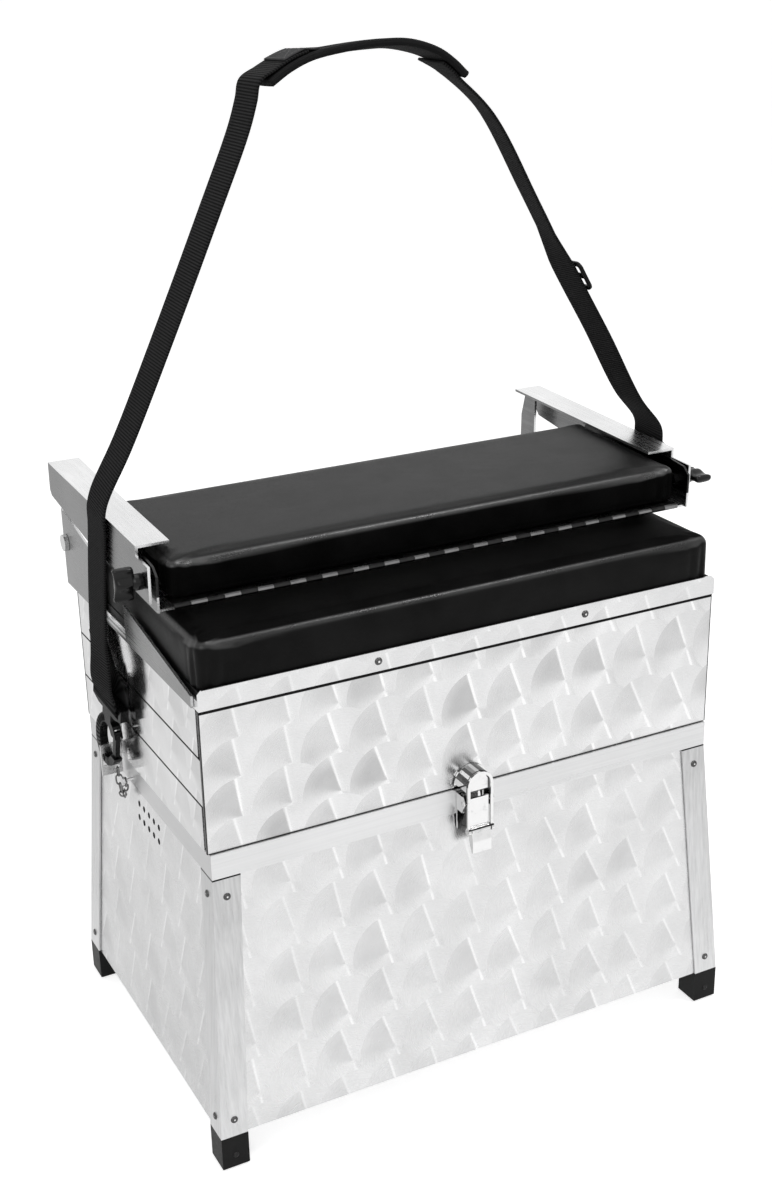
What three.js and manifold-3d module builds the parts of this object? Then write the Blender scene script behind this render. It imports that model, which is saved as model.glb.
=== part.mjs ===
// A folding-backrest fishing seat box: a tapered aluminium lower box, an upper tray section that
// tilts back on it, a cushioned seat lid, and a padded backrest folded flat over the seat.
// Millimetres. +X runs to the right of the front, -Y is the front, +Z is up, the feet stand on Z = 0.
import * as THREE from 'three';
import Module from 'manifold-3d';
import { mergeVertices } from 'three/addons/utils/BufferGeometryUtils.js';

const wasm = await Module();
wasm.setup();

// Fits and fine detail
const seam = 0.3;                 // gap between pieces that touch
const hole_clearance = 0.3;       // radial clearance of a pin or stud in its hole
const cut_overrun = 2;            // how far a cutter runs past the face it cuts
const sheet = 2;                  // thickness of the main aluminium sheets
const round_sides = 12;           // sides of a round pin or boss
const small_round_sides = 8;

// Lower box
const base_flare_x = 13;          // each side's lean outwards from the rim to the base
const base_flare_y = 18;
const rim_set_in = 1.5;           // the rim's sides stand inside the upper section's
const rim_proud = 2.5;            // and its front and back outside
const foot_height = 29;
const foot_side = 22;
const foot_bevel = 1.5;
const lower_height = 211.4;       // the tapered panels
const rim_height = 20;
const rim_wall = 6;
const angle_flange = 22;
const angle_thickness = 1.5;
const rivet_radius = 2.6;
const rivet_height = 1.1;
const rivet_top_drop = 15;        // upper rivets under the panels' top edge
const rivet_bottom_rise = 14;     // lower rivets over the panels' bottom edge
const vent_radius = 2.7;
const vent_pitch = 11.1;
const vent_row_pitch = 12;
const vent_count = 5;
const vent_rows = 2;
const vent_top_drop = 13.2;       // upper row under the panels' top edge

// Upper section
const upper_width = 440;
const upper_depth = 268;
const upper_height = 112.4;
const plank_count = 3;
const plank_gap = 1.2;
const corner_gap = 3;             // dark slot between a short plank and the front panel
const return_flange = 16;         // the front and back panels fold round inside the planks

// Seat lid
const lid_gap = 0.6;              // between the upper section and the lid
const side_plate_clearance = 0.4; // between the box walls' plane and the lid's side plates
const pan_sheet = 1.5;
const pan_side_height = 8;
const pan_back_height = 13.7;
const front_strip_height = 15.6;
const front_strip_proud = 2;
const front_strip_corner = 6;
const lid_screw_places = [-81, 97];
const board_thickness = 11.9;
const seat_cushion_height = 38;
const seat_cushion_set_back = 16.2;   // its rear edge in front of the upper section's back face
const seat_cushion_side_clearance = 1;
const side_plate_front_height = 9;
const side_plate_wedge_length = 134;
const side_plate_wedge_height = 30;
const side_plate_gap_length = 54; // from the wedge's upright end to the rear bracket, over a low sill
const side_plate_sill = 2.4;
const side_plate_bracket_height = 47;
const side_plate_above_pivot = 27;
const side_plate_set_back = 6;    // behind the upper section's front face
const side_plate_behind_pivot = 8.7;
const side_plate_rise = 0.7;      // its lower edge above the upper section

// Backrest, folded down: measured from the pivot bolts' axis, Y forward is negative
const pivot_rear = 7.3;           // pivot axis behind the upper section's back face
const pivot_rise = 38.7;          // pivot axis above the lid's underside
const backrest_slope_deg = 2.1;   // folded rails fall towards the front
const rail_carrier_gap = 2.1;
const rail_flange_inboard = 14.4;  // the flange reaches this far inside the lid's side plates
const rail_top = 68.8;
const rail_rear = 4;
const rail_front = -200;
const web_front = -223.5;
const web_low = 33.5;
const web_nose_top = 61;
const web_rear_low = 42;
const web_taper_start = -90;
const web_rear_corner = 4;
const pivot_arm_width = 22;
const pivot_arm_below = 10;
const pivot_arm_inset = 0.6;      // between the lid's side plate and the pivot arm
const carrier_pad_gap = 6.7;
const carrier_front = -228;
const carrier_rear = -80;
const carrier_low = 27.4;
const carrier_top = 61.8;
const carrier_corner = 7;
const carrier_leg = 20.4;
const carrier_sheet = 1.7;
const pad_set_in = 1;             // its ends inside the upper section's sides
const pad_front = -226;
const pad_depth = 142;
const pad_board_thickness = 5;
const pad_height = 27.5;
const pad_hinge_pitch = 12.7;
const pad_hinge_leaf = 0.9;
const pad_hinge_leaf_depth = 16;
const pad_hinge_radius = 2.1;
const knob_y = -212;
const knob_z = 47;
const knob_stem_radius = 6;
const knob_stem_length = 5;
const knob_length = 17;
const knob_span = 25;
const knob_root_thickness = 9;
const knob_tip_thickness = 5;
const knob_corner = 5;
const stud_radius = 3;
const nut_radius = 5.4;
const nut_thickness = 4;
const rear_stud_y = -128;
const rear_stud_z = 50;
const bolt_radius = 4;
const bolt_head_radius = 7;
const bolt_head_height = 3.4;
const bolt_nut_thickness = 4.5;

// Rear hinges
const hinge_pin_radius = 1.1;
const hinge_knuckle_radius = 2.5;
const hinge_leaf = 1.2;
const hinge_leaf_height = 12;
const hinge_set_in = 20;
const hinge_knuckles = 8;
const hinge_knuckle_gap = 0.4;
const hinge_back = 3.3;           // axis behind the rim band's back face
const lid_hinge_back = 3.4;       // axis behind the upper section's back face

// Draw latch at the middle of the front, over the seam
const latch_x = -4;
const latch_base_width = 27;
const latch_base_sheet = 1.5;
const latch_base_height = 35;
const latch_base_drop = 1.8;      // its top edge under the seam
const latch_ear = 1.5;
const latch_ear_height = 14;
const latch_pivot_out = 9.5;      // lever pivot in front of the rim band's face
const latch_pivot_drop = 8;       // lever pivot under the seam
const latch_pin_radius = 1.5;
const lever_half_width = 8.2;
const lever_sheet = 1.6;
const lever_length = 41;
const lever_head = 4;
const lever_out = 2.6;            // lever plate's back face in front of its pivot
const lever_barrel_radius = 2.4;
const tab_length = 19;
const tab_out = 4.5;
const bail_pin_radius = 1.2;
const bail_pin_drop = 23;         // bail's pin under the lever's pivot
const bail_wire = 2.2;
const bail_inner_half = 9;
const bail_sheet = 1.8;
const bail_arch_rise = 7;         // the bend's centre over the seam
const bail_eye_radius = 2.9;
const keeper_radius = 11;
const keeper_plate_radius = 15;
const keeper_plate = 1.5;
const keeper_rise = 1.4;          // keeper's lower edge over the upper section's bottom
const bail_keeper_gap = 1.2;

// Shoulder strap and its fittings
const webbing_width = 38;
const webbing_thickness = 2.2;
const strap_web_gap = 0.5;        // between a rail's web and the webbing beside it
const strap_exit_rise = 12;       // straight up out of the hook's eye
const strap_edge_clearance = 3;
const left_edge_y = 12.5;         // where each side passes its rail's edge
const right_edge_y = -17;
const strap_reach = 291.8;        // the shoulder pad's ends over the rails' edges
const strap_top_y = -1;
const pad_middle_x = -17;
const pad_half_length = 78;
const pad_rise = 21.8;
const pad_lean_deg = 12;          // its front edge lies higher than its back edge
const pad_turn_deg = 14;          // and its right end's back edge lies further out
const buckle_bulge = 5;
const tail_back = 37.5;           // the loose end, behind and above the hook's eye
const tail_rise = 34;
const shoulder_pad_width = 44;
const shoulder_pad_thickness = 7;
const hook_bar_y = 50;            // where the hook hangs in the bracket's ear
const hook_bar_drop = 2.3;        // under the upper section's bottom
const bracket_width = 24;
const bracket_height = 32;
const bracket_rise = 2.5;         // plate's lower edge over the upper section's bottom
const bracket_sheet = 2;
const bracket_ear_out = 17;
const bracket_ear_above = 13;
const bracket_ear_below = 14;
const bracket_eye_wide = 11.6;
const bracket_eye_high = 11;
const chain_hole_drop = 9;        // under the ear's eye
const chain_hole_radius = 2.1;
const hook_thickness = 7;
const hook_bar = 7;
const hook_ring_half_y = 14.5;
const hook_ring_half_z = 20;
const hook_out = 10.5;            // hook's middle plane in front of the planks' faces
const hook_turn_deg = 7;          // hangs with its rear side swung out
const hook_lean_deg = 13;         // and its top leaning forward
const hook_neck_width = 14;
const hook_neck_height = 5;
const hook_eye_half = 24;
const hook_eye_height = 14;
const hook_eye_bar = 4;
const hook_ring_sides = 20;
const gate_length = 20;
const gate_width = 5;
const gate_thickness = 4;
const gate_gap = 1.2;
const gate_pin_radius = 1.5;
const adjuster_length = 26;
const adjuster_thickness = 3;
const adjuster_bar = 5;
const buckle_length = 30;
const buckle_thickness = 8;

// Stay chain on the left: from the bracket to a screw in the rim band
const chain_wire = 1.5;
const chain_links = 7;
const chain_sag = 21;
const chain_end_slope_deg = 62;
const chain_link_width = 6.5;
const chain_out = 6;               // in front of the rim band's face
const chain_screw_y = 31;
const chain_screw_radius = 1.2;
const chain_screw_head = 3.8;
const chain_screw_length = 9;
const chain_ring_sides = 10;
const chain_wire_sides = 5;

// Places worked out from the sizes
const rim_width = upper_width - 2 * rim_set_in;
const rim_depth = upper_depth + 2 * rim_proud;
const base_width = rim_width + 2 * base_flare_x;
const base_depth = rim_depth + 2 * base_flare_y;
const panel_z0 = foot_height + seam;
const panel_z1 = panel_z0 + lower_height;
const rim_z0 = panel_z1 + seam;
const rim_z1 = rim_z0 + rim_height;
const upper_z0 = rim_z1 + seam;
const upper_z1 = upper_z0 + upper_height;
const lid_z0 = upper_z1 + lid_gap;
const upper_half_x = upper_width / 2;
const upper_half_y = upper_depth / 2;
const rim_half_x = rim_width / 2;
const rim_half_y = rim_depth / 2;
const hinge_length = upper_width - 2 * hinge_set_in;
const pad_width = upper_width - 2 * pad_set_in;
const pad_hinge_knuckles = Math.floor(pad_width / pad_hinge_pitch);
const carrier_outer_half = pad_width / 2 + carrier_pad_gap + carrier_sheet;
const rail_outer_half = carrier_outer_half + rail_carrier_gap + sheet;
const pan_half_x = upper_half_x + side_plate_clearance - seam;
const side_plate_inner = upper_half_x + side_plate_clearance;
const board_z0 = lid_z0 + pan_sheet + seam;
const seat_cushion_z0 = board_z0 + board_thickness + seam;
const pivot_y = upper_half_y + pivot_rear;
const pivot_z = lid_z0 + pivot_rise;
const hinge_y = rim_half_y + hinge_back;
const hinge_z = rim_z1 + seam / 2;
const lid_hinge_y = upper_half_y + lid_hinge_back;
const lid_hinge_z = upper_z1 + lid_gap / 2;
const chain_x = rim_half_x + chain_out;
const chain_screw_z = rim_z0 + angle_thickness + chain_screw_head;

const aluminium = new THREE.MeshStandardMaterial({ color: 0xd2d4d6, roughness: 0.34, metalness: 0.9 });
const satin_aluminium = new THREE.MeshStandardMaterial({ color: 0xc4c6c8, roughness: 0.45, metalness: 0.9 });
const chrome = new THREE.MeshStandardMaterial({ color: 0xe6e8ea, roughness: 0.12, metalness: 1 });
const steel = new THREE.MeshStandardMaterial({ color: 0xb4b6b8, roughness: 0.4, metalness: 0.95 });
const vinyl = new THREE.MeshStandardMaterial({ color: 0x18181a, roughness: 0.5, metalness: 0 });
const webbing = new THREE.MeshStandardMaterial({ color: 0x141415, roughness: 0.85, metalness: 0 });
const black_plastic = new THREE.MeshStandardMaterial({ color: 0x131314, roughness: 0.45, metalness: 0 });
const plywood = new THREE.MeshStandardMaterial({ color: 0x8c7350, roughness: 0.8, metalness: 0 });

// Solids

function solid(geometry) {
  const bare = geometry.clone();
  bare.deleteAttribute('normal');
  bare.deleteAttribute('uv');
  const merged = mergeVertices(bare.index ? bare.toNonIndexed() : bare);
  return new wasm.Manifold(new wasm.Mesh({
    numProp: 3,
    vertProperties: new Float32Array(merged.attributes.position.array),
    triVerts: new Uint32Array(merged.index.array),
  }));
}

function join(...pieces) {
  return pieces.reduce((sum, piece) => sum.add(piece));
}

function box(x0, x1, y0, y1, z0, z1) {
  const geometry = new THREE.BoxGeometry(Math.abs(x1 - x0), Math.abs(y1 - y0), Math.abs(z1 - z0));
  geometry.translate((x0 + x1) / 2, (y0 + y1) / 2, (z0 + z1) / 2);
  return solid(geometry);
}

function extrude(outline, depth) {
  const shape = new THREE.Shape(outline.map(([u, v]) => new THREE.Vector2(u, v)));
  return new THREE.ExtrudeGeometry(shape, { depth, bevelEnabled: false, steps: 1 });
}

// An outline of [x, y] points between two heights
function prism_z(outline, z0, z1) {
  return solid(extrude(outline, z1 - z0).translate(0, 0, z0));
}

// An outline of [y, z] points between two values of X
function prism_x(outline, x0, x1) {
  const geometry = extrude(outline, Math.abs(x1 - x0));
  geometry.applyMatrix4(new THREE.Matrix4().makeBasis(
    new THREE.Vector3(0, 1, 0), new THREE.Vector3(0, 0, 1), new THREE.Vector3(1, 0, 0)));
  return solid(geometry.translate(Math.min(x0, x1), 0, 0));
}

// An outline of [x, z] points between two values of Y
function prism_y(outline, y0, y1) {
  const geometry = extrude(outline, Math.abs(y1 - y0));
  geometry.applyMatrix4(new THREE.Matrix4().makeBasis(
    new THREE.Vector3(1, 0, 0), new THREE.Vector3(0, 0, 1), new THREE.Vector3(0, -1, 0)));
  return solid(geometry.translate(0, Math.max(y0, y1), 0));
}

function circle(u, v, radius, sides = round_sides, from = 0, to = 2 * Math.PI) {
  const full = to - from >= 2 * Math.PI;
  const steps = full ? sides : sides + 1;
  return Array.from({ length: steps }, (unused, i) => {
    const angle = from + (to - from) * i / sides;
    return [u + radius * Math.cos(angle), v + radius * Math.sin(angle)];
  });
}

function rectangle(u0, u1, v0, v1) {
  return [[u0, v0], [u1, v0], [u1, v1], [u0, v1]];
}

// A rectangle whose corners are cut back by the given amounts, lower pair first
function cut_rectangle(u0, u1, v0, v1, low, high) {
  const points = [[u0 + low, v0], [u1 - low, v0]];
  if (low > 0) points.push([u1, v0 + low]);
  points.push([u1, v1 - high]);
  if (high > 0) points.push([u1 - high, v1], [u0 + high, v1]);
  points.push([u0, v1 - high]);
  if (low > 0) points.push([u0, v0 + low]);
  return points;
}

// A closed skin through rings of equally many points, with both ends capped
function skin(rings) {
  const count = rings[0].length;
  const positions = rings.flat().flatMap((p) => [p.x, p.y, p.z]);
  const faces = [];
  for (let r = 0; r < rings.length - 1; r += 1) {
    for (let i = 0; i < count; i += 1) {
      const a = r * count + i;
      const b = r * count + (i + 1) % count;
      faces.push(a, b, b + count, a, b + count, a + count);
    }
  }
  const cap = (ring) => {
    const normal = new THREE.Vector3();
    ring.forEach((p, i) => normal.add(p.clone().cross(ring[(i + 1) % count])));
    normal.normalize();
    const side = new THREE.Vector3().subVectors(ring[1], ring[0]).normalize();
    const across = new THREE.Vector3().crossVectors(normal, side);
    const flat = ring.map((p) => new THREE.Vector2(p.dot(side), p.dot(across)));
    return THREE.ShapeUtils.triangulateShape(flat, []);
  };
  cap(rings[0]).forEach(([a, b, c]) => faces.push(a, c, b));
  const last = (rings.length - 1) * count;
  cap(rings[rings.length - 1]).forEach(([a, b, c]) => faces.push(last + a, last + b, last + c));
  const geometry = new THREE.BufferGeometry();
  geometry.setAttribute('position', new THREE.Float32BufferAttribute(positions, 3));
  geometry.setIndex(faces);
  const made = solid(geometry);
  if (made.volume() > 0) return made;
  const flipped = faces.slice();
  for (let i = 0; i < flipped.length; i += 3) [flipped[i], flipped[i + 1]] = [flipped[i + 1], flipped[i]];
  geometry.setIndex(flipped);
  return solid(geometry);
}

// A flat strap: a rectangle carried along a curve, its width held near a given direction
function ribbon(points, steps_each, width, thickness, across_at = () => new THREE.Vector3(0, 1, 0)) {
  const curve = new THREE.CatmullRomCurve3(points);
  const steps = steps_each * (points.length - 1);
  const rings = Array.from({ length: steps + 1 }, (unused, i) => {
    const middle = curve.getPoint(i / steps);
    const along = curve.getTangent(i / steps);
    const across = across_at(middle);
    const side = across.clone().addScaledVector(along, -across.dot(along)).normalize();
    const face = new THREE.Vector3().crossVectors(along, side);
    const corner = (a, b) => middle.clone().addScaledVector(side, a * width / 2)
      .addScaledVector(face, b * thickness / 2);
    return [corner(-1, -1), corner(1, -1), corner(1, 1), corner(-1, 1)];
  });
  return skin(rings);
}

// A closed loop of wire round a centre, stretched along one direction
function wire_loop(centre, along, across, length, width, wire) {
  const normal = new THREE.Vector3().crossVectors(along, across).normalize();
  const ring_points = [];
  for (let i = 0; i < chain_ring_sides; i += 1) {
    const angle = 2 * Math.PI * i / chain_ring_sides;
    const out = along.clone().multiplyScalar(Math.cos(angle) * (length - wire) / 2)
      .addScaledVector(across, Math.sin(angle) * (width - wire) / 2);
    const direction = out.clone().normalize();
    const loop = [];
    for (let k = 0; k < chain_wire_sides; k += 1) {
      const turn = 2 * Math.PI * k / chain_wire_sides;
      loop.push(centre.clone().add(out)
        .addScaledVector(direction, Math.cos(turn) * wire / 2)
        .addScaledVector(normal, Math.sin(turn) * wire / 2));
    }
    ring_points.push(loop);
  }
  const positions = ring_points.flat().flatMap((p) => [p.x, p.y, p.z]);
  const faces = [];
  for (let i = 0; i < chain_ring_sides; i += 1) {
    for (let k = 0; k < chain_wire_sides; k += 1) {
      const next = (i + 1) % chain_ring_sides;
      const a = i * chain_wire_sides + k;
      const b = i * chain_wire_sides + (k + 1) % chain_wire_sides;
      const c = next * chain_wire_sides + (k + 1) % chain_wire_sides;
      const d = next * chain_wire_sides + k;
      faces.push(a, c, b, a, d, c);
    }
  }
  const geometry = new THREE.BufferGeometry();
  geometry.setAttribute('position', new THREE.Float32BufferAttribute(positions, 3));
  geometry.setIndex(faces);
  const made = solid(geometry);
  if (made.volume() > 0) return made;
  for (let i = 0; i < faces.length; i += 3) [faces[i], faces[i + 1]] = [faces[i + 1], faces[i]];
  geometry.setIndex(faces);
  return solid(geometry);
}

// A rivet's head on a face that looks along X or Y
function rivet_head(axis, sign, x, y, z, radius, height) {
  const geometry = new THREE.CylinderGeometry(radius * 0.6, radius, 2 * height, small_round_sides);
  if (axis === 'x') geometry.rotateZ(-sign * Math.PI / 2);
  if (axis === 'y' && sign < 0) geometry.rotateX(Math.PI);
  return solid(geometry.translate(x, y, z));
}

// A stuffed cushion: rounded corners and edges, drawn-in sides and a crowned top on a flat base
function cushion(width, depth, height, { corner, edge, crown, draw, cells_x, cells_y, side_rows }) {
  const half_x = width / 2;
  const half_y = depth / 2;
  const outline = [];
  const corner_steps = 3;
  const place = (x, y) => outline.push([x, y]);
  const run = (x0, y0, x1, y1, cells) => {
    for (let i = 0; i < cells; i += 1) place(x0 + (x1 - x0) * i / cells, y0 + (y1 - y0) * i / cells);
  };
  const bend = (cx, cy, start) => {
    for (let i = 0; i < corner_steps; i += 1) {
      const angle = start + Math.PI / 2 * i / corner_steps;
      place(cx + corner * Math.cos(angle), cy + corner * Math.sin(angle));
    }
  };
  run(-half_x + corner, -half_y, half_x - corner, -half_y, cells_x);
  bend(half_x - corner, -half_y + corner, -Math.PI / 2);
  run(half_x, -half_y + corner, half_x, half_y - corner, cells_y);
  bend(half_x - corner, half_y - corner, 0);
  run(half_x - corner, half_y, -half_x + corner, half_y, cells_x);
  bend(-half_x + corner, half_y - corner, Math.PI / 2);
  run(-half_x, half_y - corner, -half_x, -half_y + corner, cells_y);
  bend(-half_x + corner, -half_y + corner, Math.PI);
  // how far a plan point is along its side, 0 at the corners and 1 at the middle
  const swell = (x, y) => Math.max(0, 1 - (x / half_x) ** 2) * Math.max(0, 1 - (y / half_y) ** 2);
  const pull = (x, y) => {
    const along_x = Math.max(0, 1 - (x / half_x) ** 2);
    const along_y = Math.max(0, 1 - (y / half_y) ** 2);
    return Math.max(along_x, along_y) > 0 ? draw * Math.min(1, 4 * Math.min(1, along_x + along_y)) : 0;
  };
  const ring_at = (inset, z, drawn) => outline.map(([x, y]) => {
    const shrink_x = (half_x - inset - drawn * pull(x, y)) / half_x;
    const shrink_y = (half_y - inset - drawn * pull(x, y)) / half_y;
    return new THREE.Vector3(x * shrink_x, y * shrink_y, z);
  });
  const rings = [];
  const shoulder = height - crown - edge;
  for (let i = 0; i <= side_rows; i += 1) {
    const share = i / side_rows;
    rings.push(ring_at(0, shoulder * share, Math.sin(Math.PI * share)));
  }
  const edge_steps = 3;
  for (let i = 1; i <= edge_steps; i += 1) {
    const angle = Math.PI / 2 * i / edge_steps;
    rings.push(ring_at(edge * (1 - Math.cos(angle)), shoulder + edge * Math.sin(angle), 0));
  }
  const crown_rings = 6;
  for (let i = 1; i < crown_rings; i += 1) {
    const share = 1 - i / crown_rings;
    rings.push(outline.map(([x, y]) => {
      const px = x * share * (half_x - edge) / half_x;
      const py = y * share * (half_y - edge) / half_y;
      return new THREE.Vector3(px, py, height - crown + crown * swell(px, py) ** 0.6);
    }));
  }
  const count = outline.length;
  const positions = rings.flat().flatMap((p) => [p.x, p.y, p.z]);
  positions.push(0, 0, height, 0, 0, 0);
  const top = rings.length * count;
  const faces = [];
  for (let r = 0; r < rings.length - 1; r += 1) {
    for (let i = 0; i < count; i += 1) {
      const a = r * count + i;
      const b = r * count + (i + 1) % count;
      faces.push(a, b, b + count, a, b + count, a + count);
    }
  }
  const last = (rings.length - 1) * count;
  for (let i = 0; i < count; i += 1) {
    faces.push(last + i, last + (i + 1) % count, top);
    faces.push((i + 1) % count, i, top + 1);
  }
  const geometry = new THREE.BufferGeometry();
  geometry.setAttribute('position', new THREE.Float32BufferAttribute(positions, 3));
  geometry.setIndex(faces);
  return solid(geometry);
}

const seat_box = new THREE.Group();
const folded_backrest = new THREE.Group();
folded_backrest.position.set(0, pivot_y, pivot_z);
folded_backrest.rotation.x = THREE.MathUtils.degToRad(backrest_slope_deg);
seat_box.add(folded_backrest);

function add(name, body, material, group = seat_box) {
  const mesh_data = body.getMesh();
  const geometry = new THREE.BufferGeometry();
  geometry.setAttribute('position', new THREE.BufferAttribute(new Float32Array(mesh_data.vertProperties), 3));
  geometry.setIndex(new THREE.BufferAttribute(new Uint32Array(mesh_data.triVerts), 1));
  geometry.computeVertexNormals();
  const mesh = new THREE.Mesh(geometry, material);
  mesh.name = name;
  group.add(mesh);
  return mesh;
}

const sides = [['left', -1], ['right', 1]];

// Lower box: half sizes outside the panels at a height, which the angles wrap
const taper = (z) => (z - panel_z0) / (panel_z1 - panel_z0);
const outer_half_x = (z) => THREE.MathUtils.lerp(base_width / 2, rim_half_x, taper(z));
const outer_half_y = (z) => THREE.MathUtils.lerp(base_depth / 2, rim_half_y, taper(z));
const panel_half_x = (z) => outer_half_x(z) - angle_thickness - seam;
const panel_half_y = (z) => outer_half_y(z) - angle_thickness - seam;

function tapered(outline_at) {
  return skin([panel_z0, panel_z1].map((z) => outline_at(z).map(([x, y]) => new THREE.Vector3(x, y, z))));
}

function lower_panels() {
  for (const [name, sign] of [['front', -1], ['back', 1]]) {
    add(`lower_${name}_panel`, tapered((z) => rectangle(-panel_half_x(z), panel_half_x(z),
      sign * panel_half_y(z), sign * (panel_half_y(z) - sheet))), aluminium);
  }
  for (const [name, sign] of sides) {
    let panel = tapered((z) => rectangle(sign * panel_half_x(z), sign * (panel_half_x(z) - sheet),
      -panel_half_y(z) + sheet + seam, panel_half_y(z) - sheet - seam));
    if (sign < 0) {
      for (let row = 0; row < vent_rows; row += 1) {
        for (let column = 0; column < vent_count; column += 1) {
          const y = (column - (vent_count - 1) / 2) * vent_pitch;
          const z = panel_z1 - vent_top_drop - row * vent_row_pitch;
          panel = panel.subtract(prism_x(circle(y, z, vent_radius, small_round_sides),
            -panel_half_x(z) - cut_overrun, -panel_half_x(z) + sheet + cut_overrun));
        }
      }
    }
    add(`lower_${name}_panel`, panel, aluminium);
  }
  const floor_x = panel_half_x(panel_z0 + sheet) - sheet - seam;
  const floor_y = panel_half_y(panel_z0 + sheet) - sheet - seam;
  add('lower_floor', box(-floor_x, floor_x, -floor_y, floor_y, panel_z0, panel_z0 + sheet), aluminium);
}

function corner_angles() {
  for (const [end, sy] of [['front', -1], ['back', 1]]) {
    for (const [side, sx] of sides) {
      const angle = tapered((z) => {
        const x = outer_half_x(z);
        const y = outer_half_y(z);
        return [[x, y], [x - angle_flange, y], [x - angle_flange, y - angle_thickness],
          [x - angle_thickness, y - angle_thickness], [x - angle_thickness, y - angle_flange],
          [x, y - angle_flange]].map(([px, py]) => [sx * px, sy * py]);
      });
      const heads = [panel_z1 - rivet_top_drop, panel_z0 + rivet_bottom_rise].flatMap((z) => [
        rivet_head('x', sx, sx * outer_half_x(z), sy * (outer_half_y(z) - angle_flange / 2), z,
          rivet_radius, rivet_height),
        rivet_head('y', sy, sx * (outer_half_x(z) - angle_flange / 2), sy * outer_half_y(z), z,
          rivet_radius, rivet_height),
      ]);
      add(`corner_angle_${end}_${side}`, join(angle, ...heads), satin_aluminium);
    }
  }
}

function feet() {
  for (const [end, sy] of [['front', -1], ['back', 1]]) {
    for (const [side, sx] of sides) {
      const ring = (inset, z) => rectangle(
        sx * (base_width / 2 - inset), sx * (base_width / 2 - foot_side + inset),
        sy * (base_depth / 2 - inset), sy * (base_depth / 2 - foot_side + inset))
        .map(([x, y]) => new THREE.Vector3(x, y, z));
      add(`foot_${end}_${side}`, skin([ring(foot_bevel, 0), ring(0, foot_bevel), ring(0, foot_height)]),
        black_plastic);
    }
  }
}

function rim_band() {
  const outside = box(-rim_half_x, rim_half_x, -rim_half_y, rim_half_y, rim_z0, rim_z1);
  const inside = box(-rim_half_x + rim_wall, rim_half_x - rim_wall, -rim_half_y + rim_wall,
    rim_half_y - rim_wall, rim_z0 - cut_overrun, rim_z1 + cut_overrun);
  const screw = join(
    prism_x(circle(chain_screw_y, chain_screw_z, chain_screw_radius, small_round_sides),
      -rim_half_x - chain_screw_length, -rim_half_x + rim_wall / 2),
    prism_x(circle(chain_screw_y, chain_screw_z, chain_screw_head, small_round_sides),
      -rim_half_x - chain_screw_length, -rim_half_x - chain_screw_length + chain_wire),
  );
  add('rim_band', join(outside.subtract(inside), screw), satin_aluminium);
}

// Upper section
const wall_inner_x = upper_half_x - sheet;
const wall_inner_y = upper_half_y - sheet;
const plank_height = (upper_height - (plank_count - 1) * plank_gap) / plank_count;

function upper_walls() {
  for (const [name, sign] of [['front', -1], ['back', 1]]) {
    const face = box(-upper_half_x, upper_half_x, sign * upper_half_y, sign * wall_inner_y,
      upper_z0, upper_z1);
    const returns = sides.map(([, sx]) => box(sx * (wall_inner_x - seam), sx * (wall_inner_x - seam - sheet),
      sign * upper_half_y, sign * (wall_inner_y - return_flange), upper_z0 + sheet + seam, upper_z1));
    add(`upper_${name}_panel`, join(face, ...returns), aluminium);
  }
  for (const [name, sx] of sides) {
    for (let i = 0; i < plank_count; i += 1) {
      const z0 = upper_z0 + i * (plank_height + plank_gap);
      const short = i % 2 === 0 ? corner_gap : seam;
      add(`${name}_plank_${['lower', 'middle', 'upper'][i] ?? i}`, box(sx * upper_half_x, sx * wall_inner_x,
        -wall_inner_y + short, wall_inner_y - seam, z0, z0 + plank_height), aluminium);
    }
  }
  const floor_x = wall_inner_x - seam;
  const floor_y = wall_inner_y - seam;
  add('upper_floor', box(-floor_x, floor_x, -floor_y, floor_y, upper_z0, upper_z0 + sheet), aluminium);
}

// A piano hinge along X: the fixed leaf holds the pin, and the moving leaf's knuckles turn on it.
// A leaf and the neck that joins it to a knuckle are [y0, y1, z0, z1].
function piano_hinge({ length, knuckles, y, z, radius, fixed, moving }) {
  const pitch = length / knuckles;
  const leaf = (part) => box(-length / 2, length / 2, ...part.leaf);
  let fixed_body = join(leaf(fixed), prism_x(circle(y, z, hinge_pin_radius), -length / 2, length / 2));
  let moving_body = leaf(moving);
  for (let i = 0; i < knuckles; i += 1) {
    const x0 = -length / 2 + i * pitch + hinge_knuckle_gap / 2;
    const x1 = x0 + pitch - hinge_knuckle_gap;
    const knuckle = prism_x(circle(y, z, radius, small_round_sides), x0, x1);
    if (i % 2 === 0) fixed_body = join(fixed_body, knuckle, box(x0, x1, ...fixed.neck));
    else moving_body = join(moving_body, knuckle, box(x0, x1, ...moving.neck));
  }
  const bore = prism_x(circle(y, z, hinge_pin_radius + hole_clearance, round_sides),
    -length / 2 - cut_overrun, length / 2 + cut_overrun);
  return { fixed: fixed_body, moving: moving_body.subtract(bore) };
}

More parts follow.
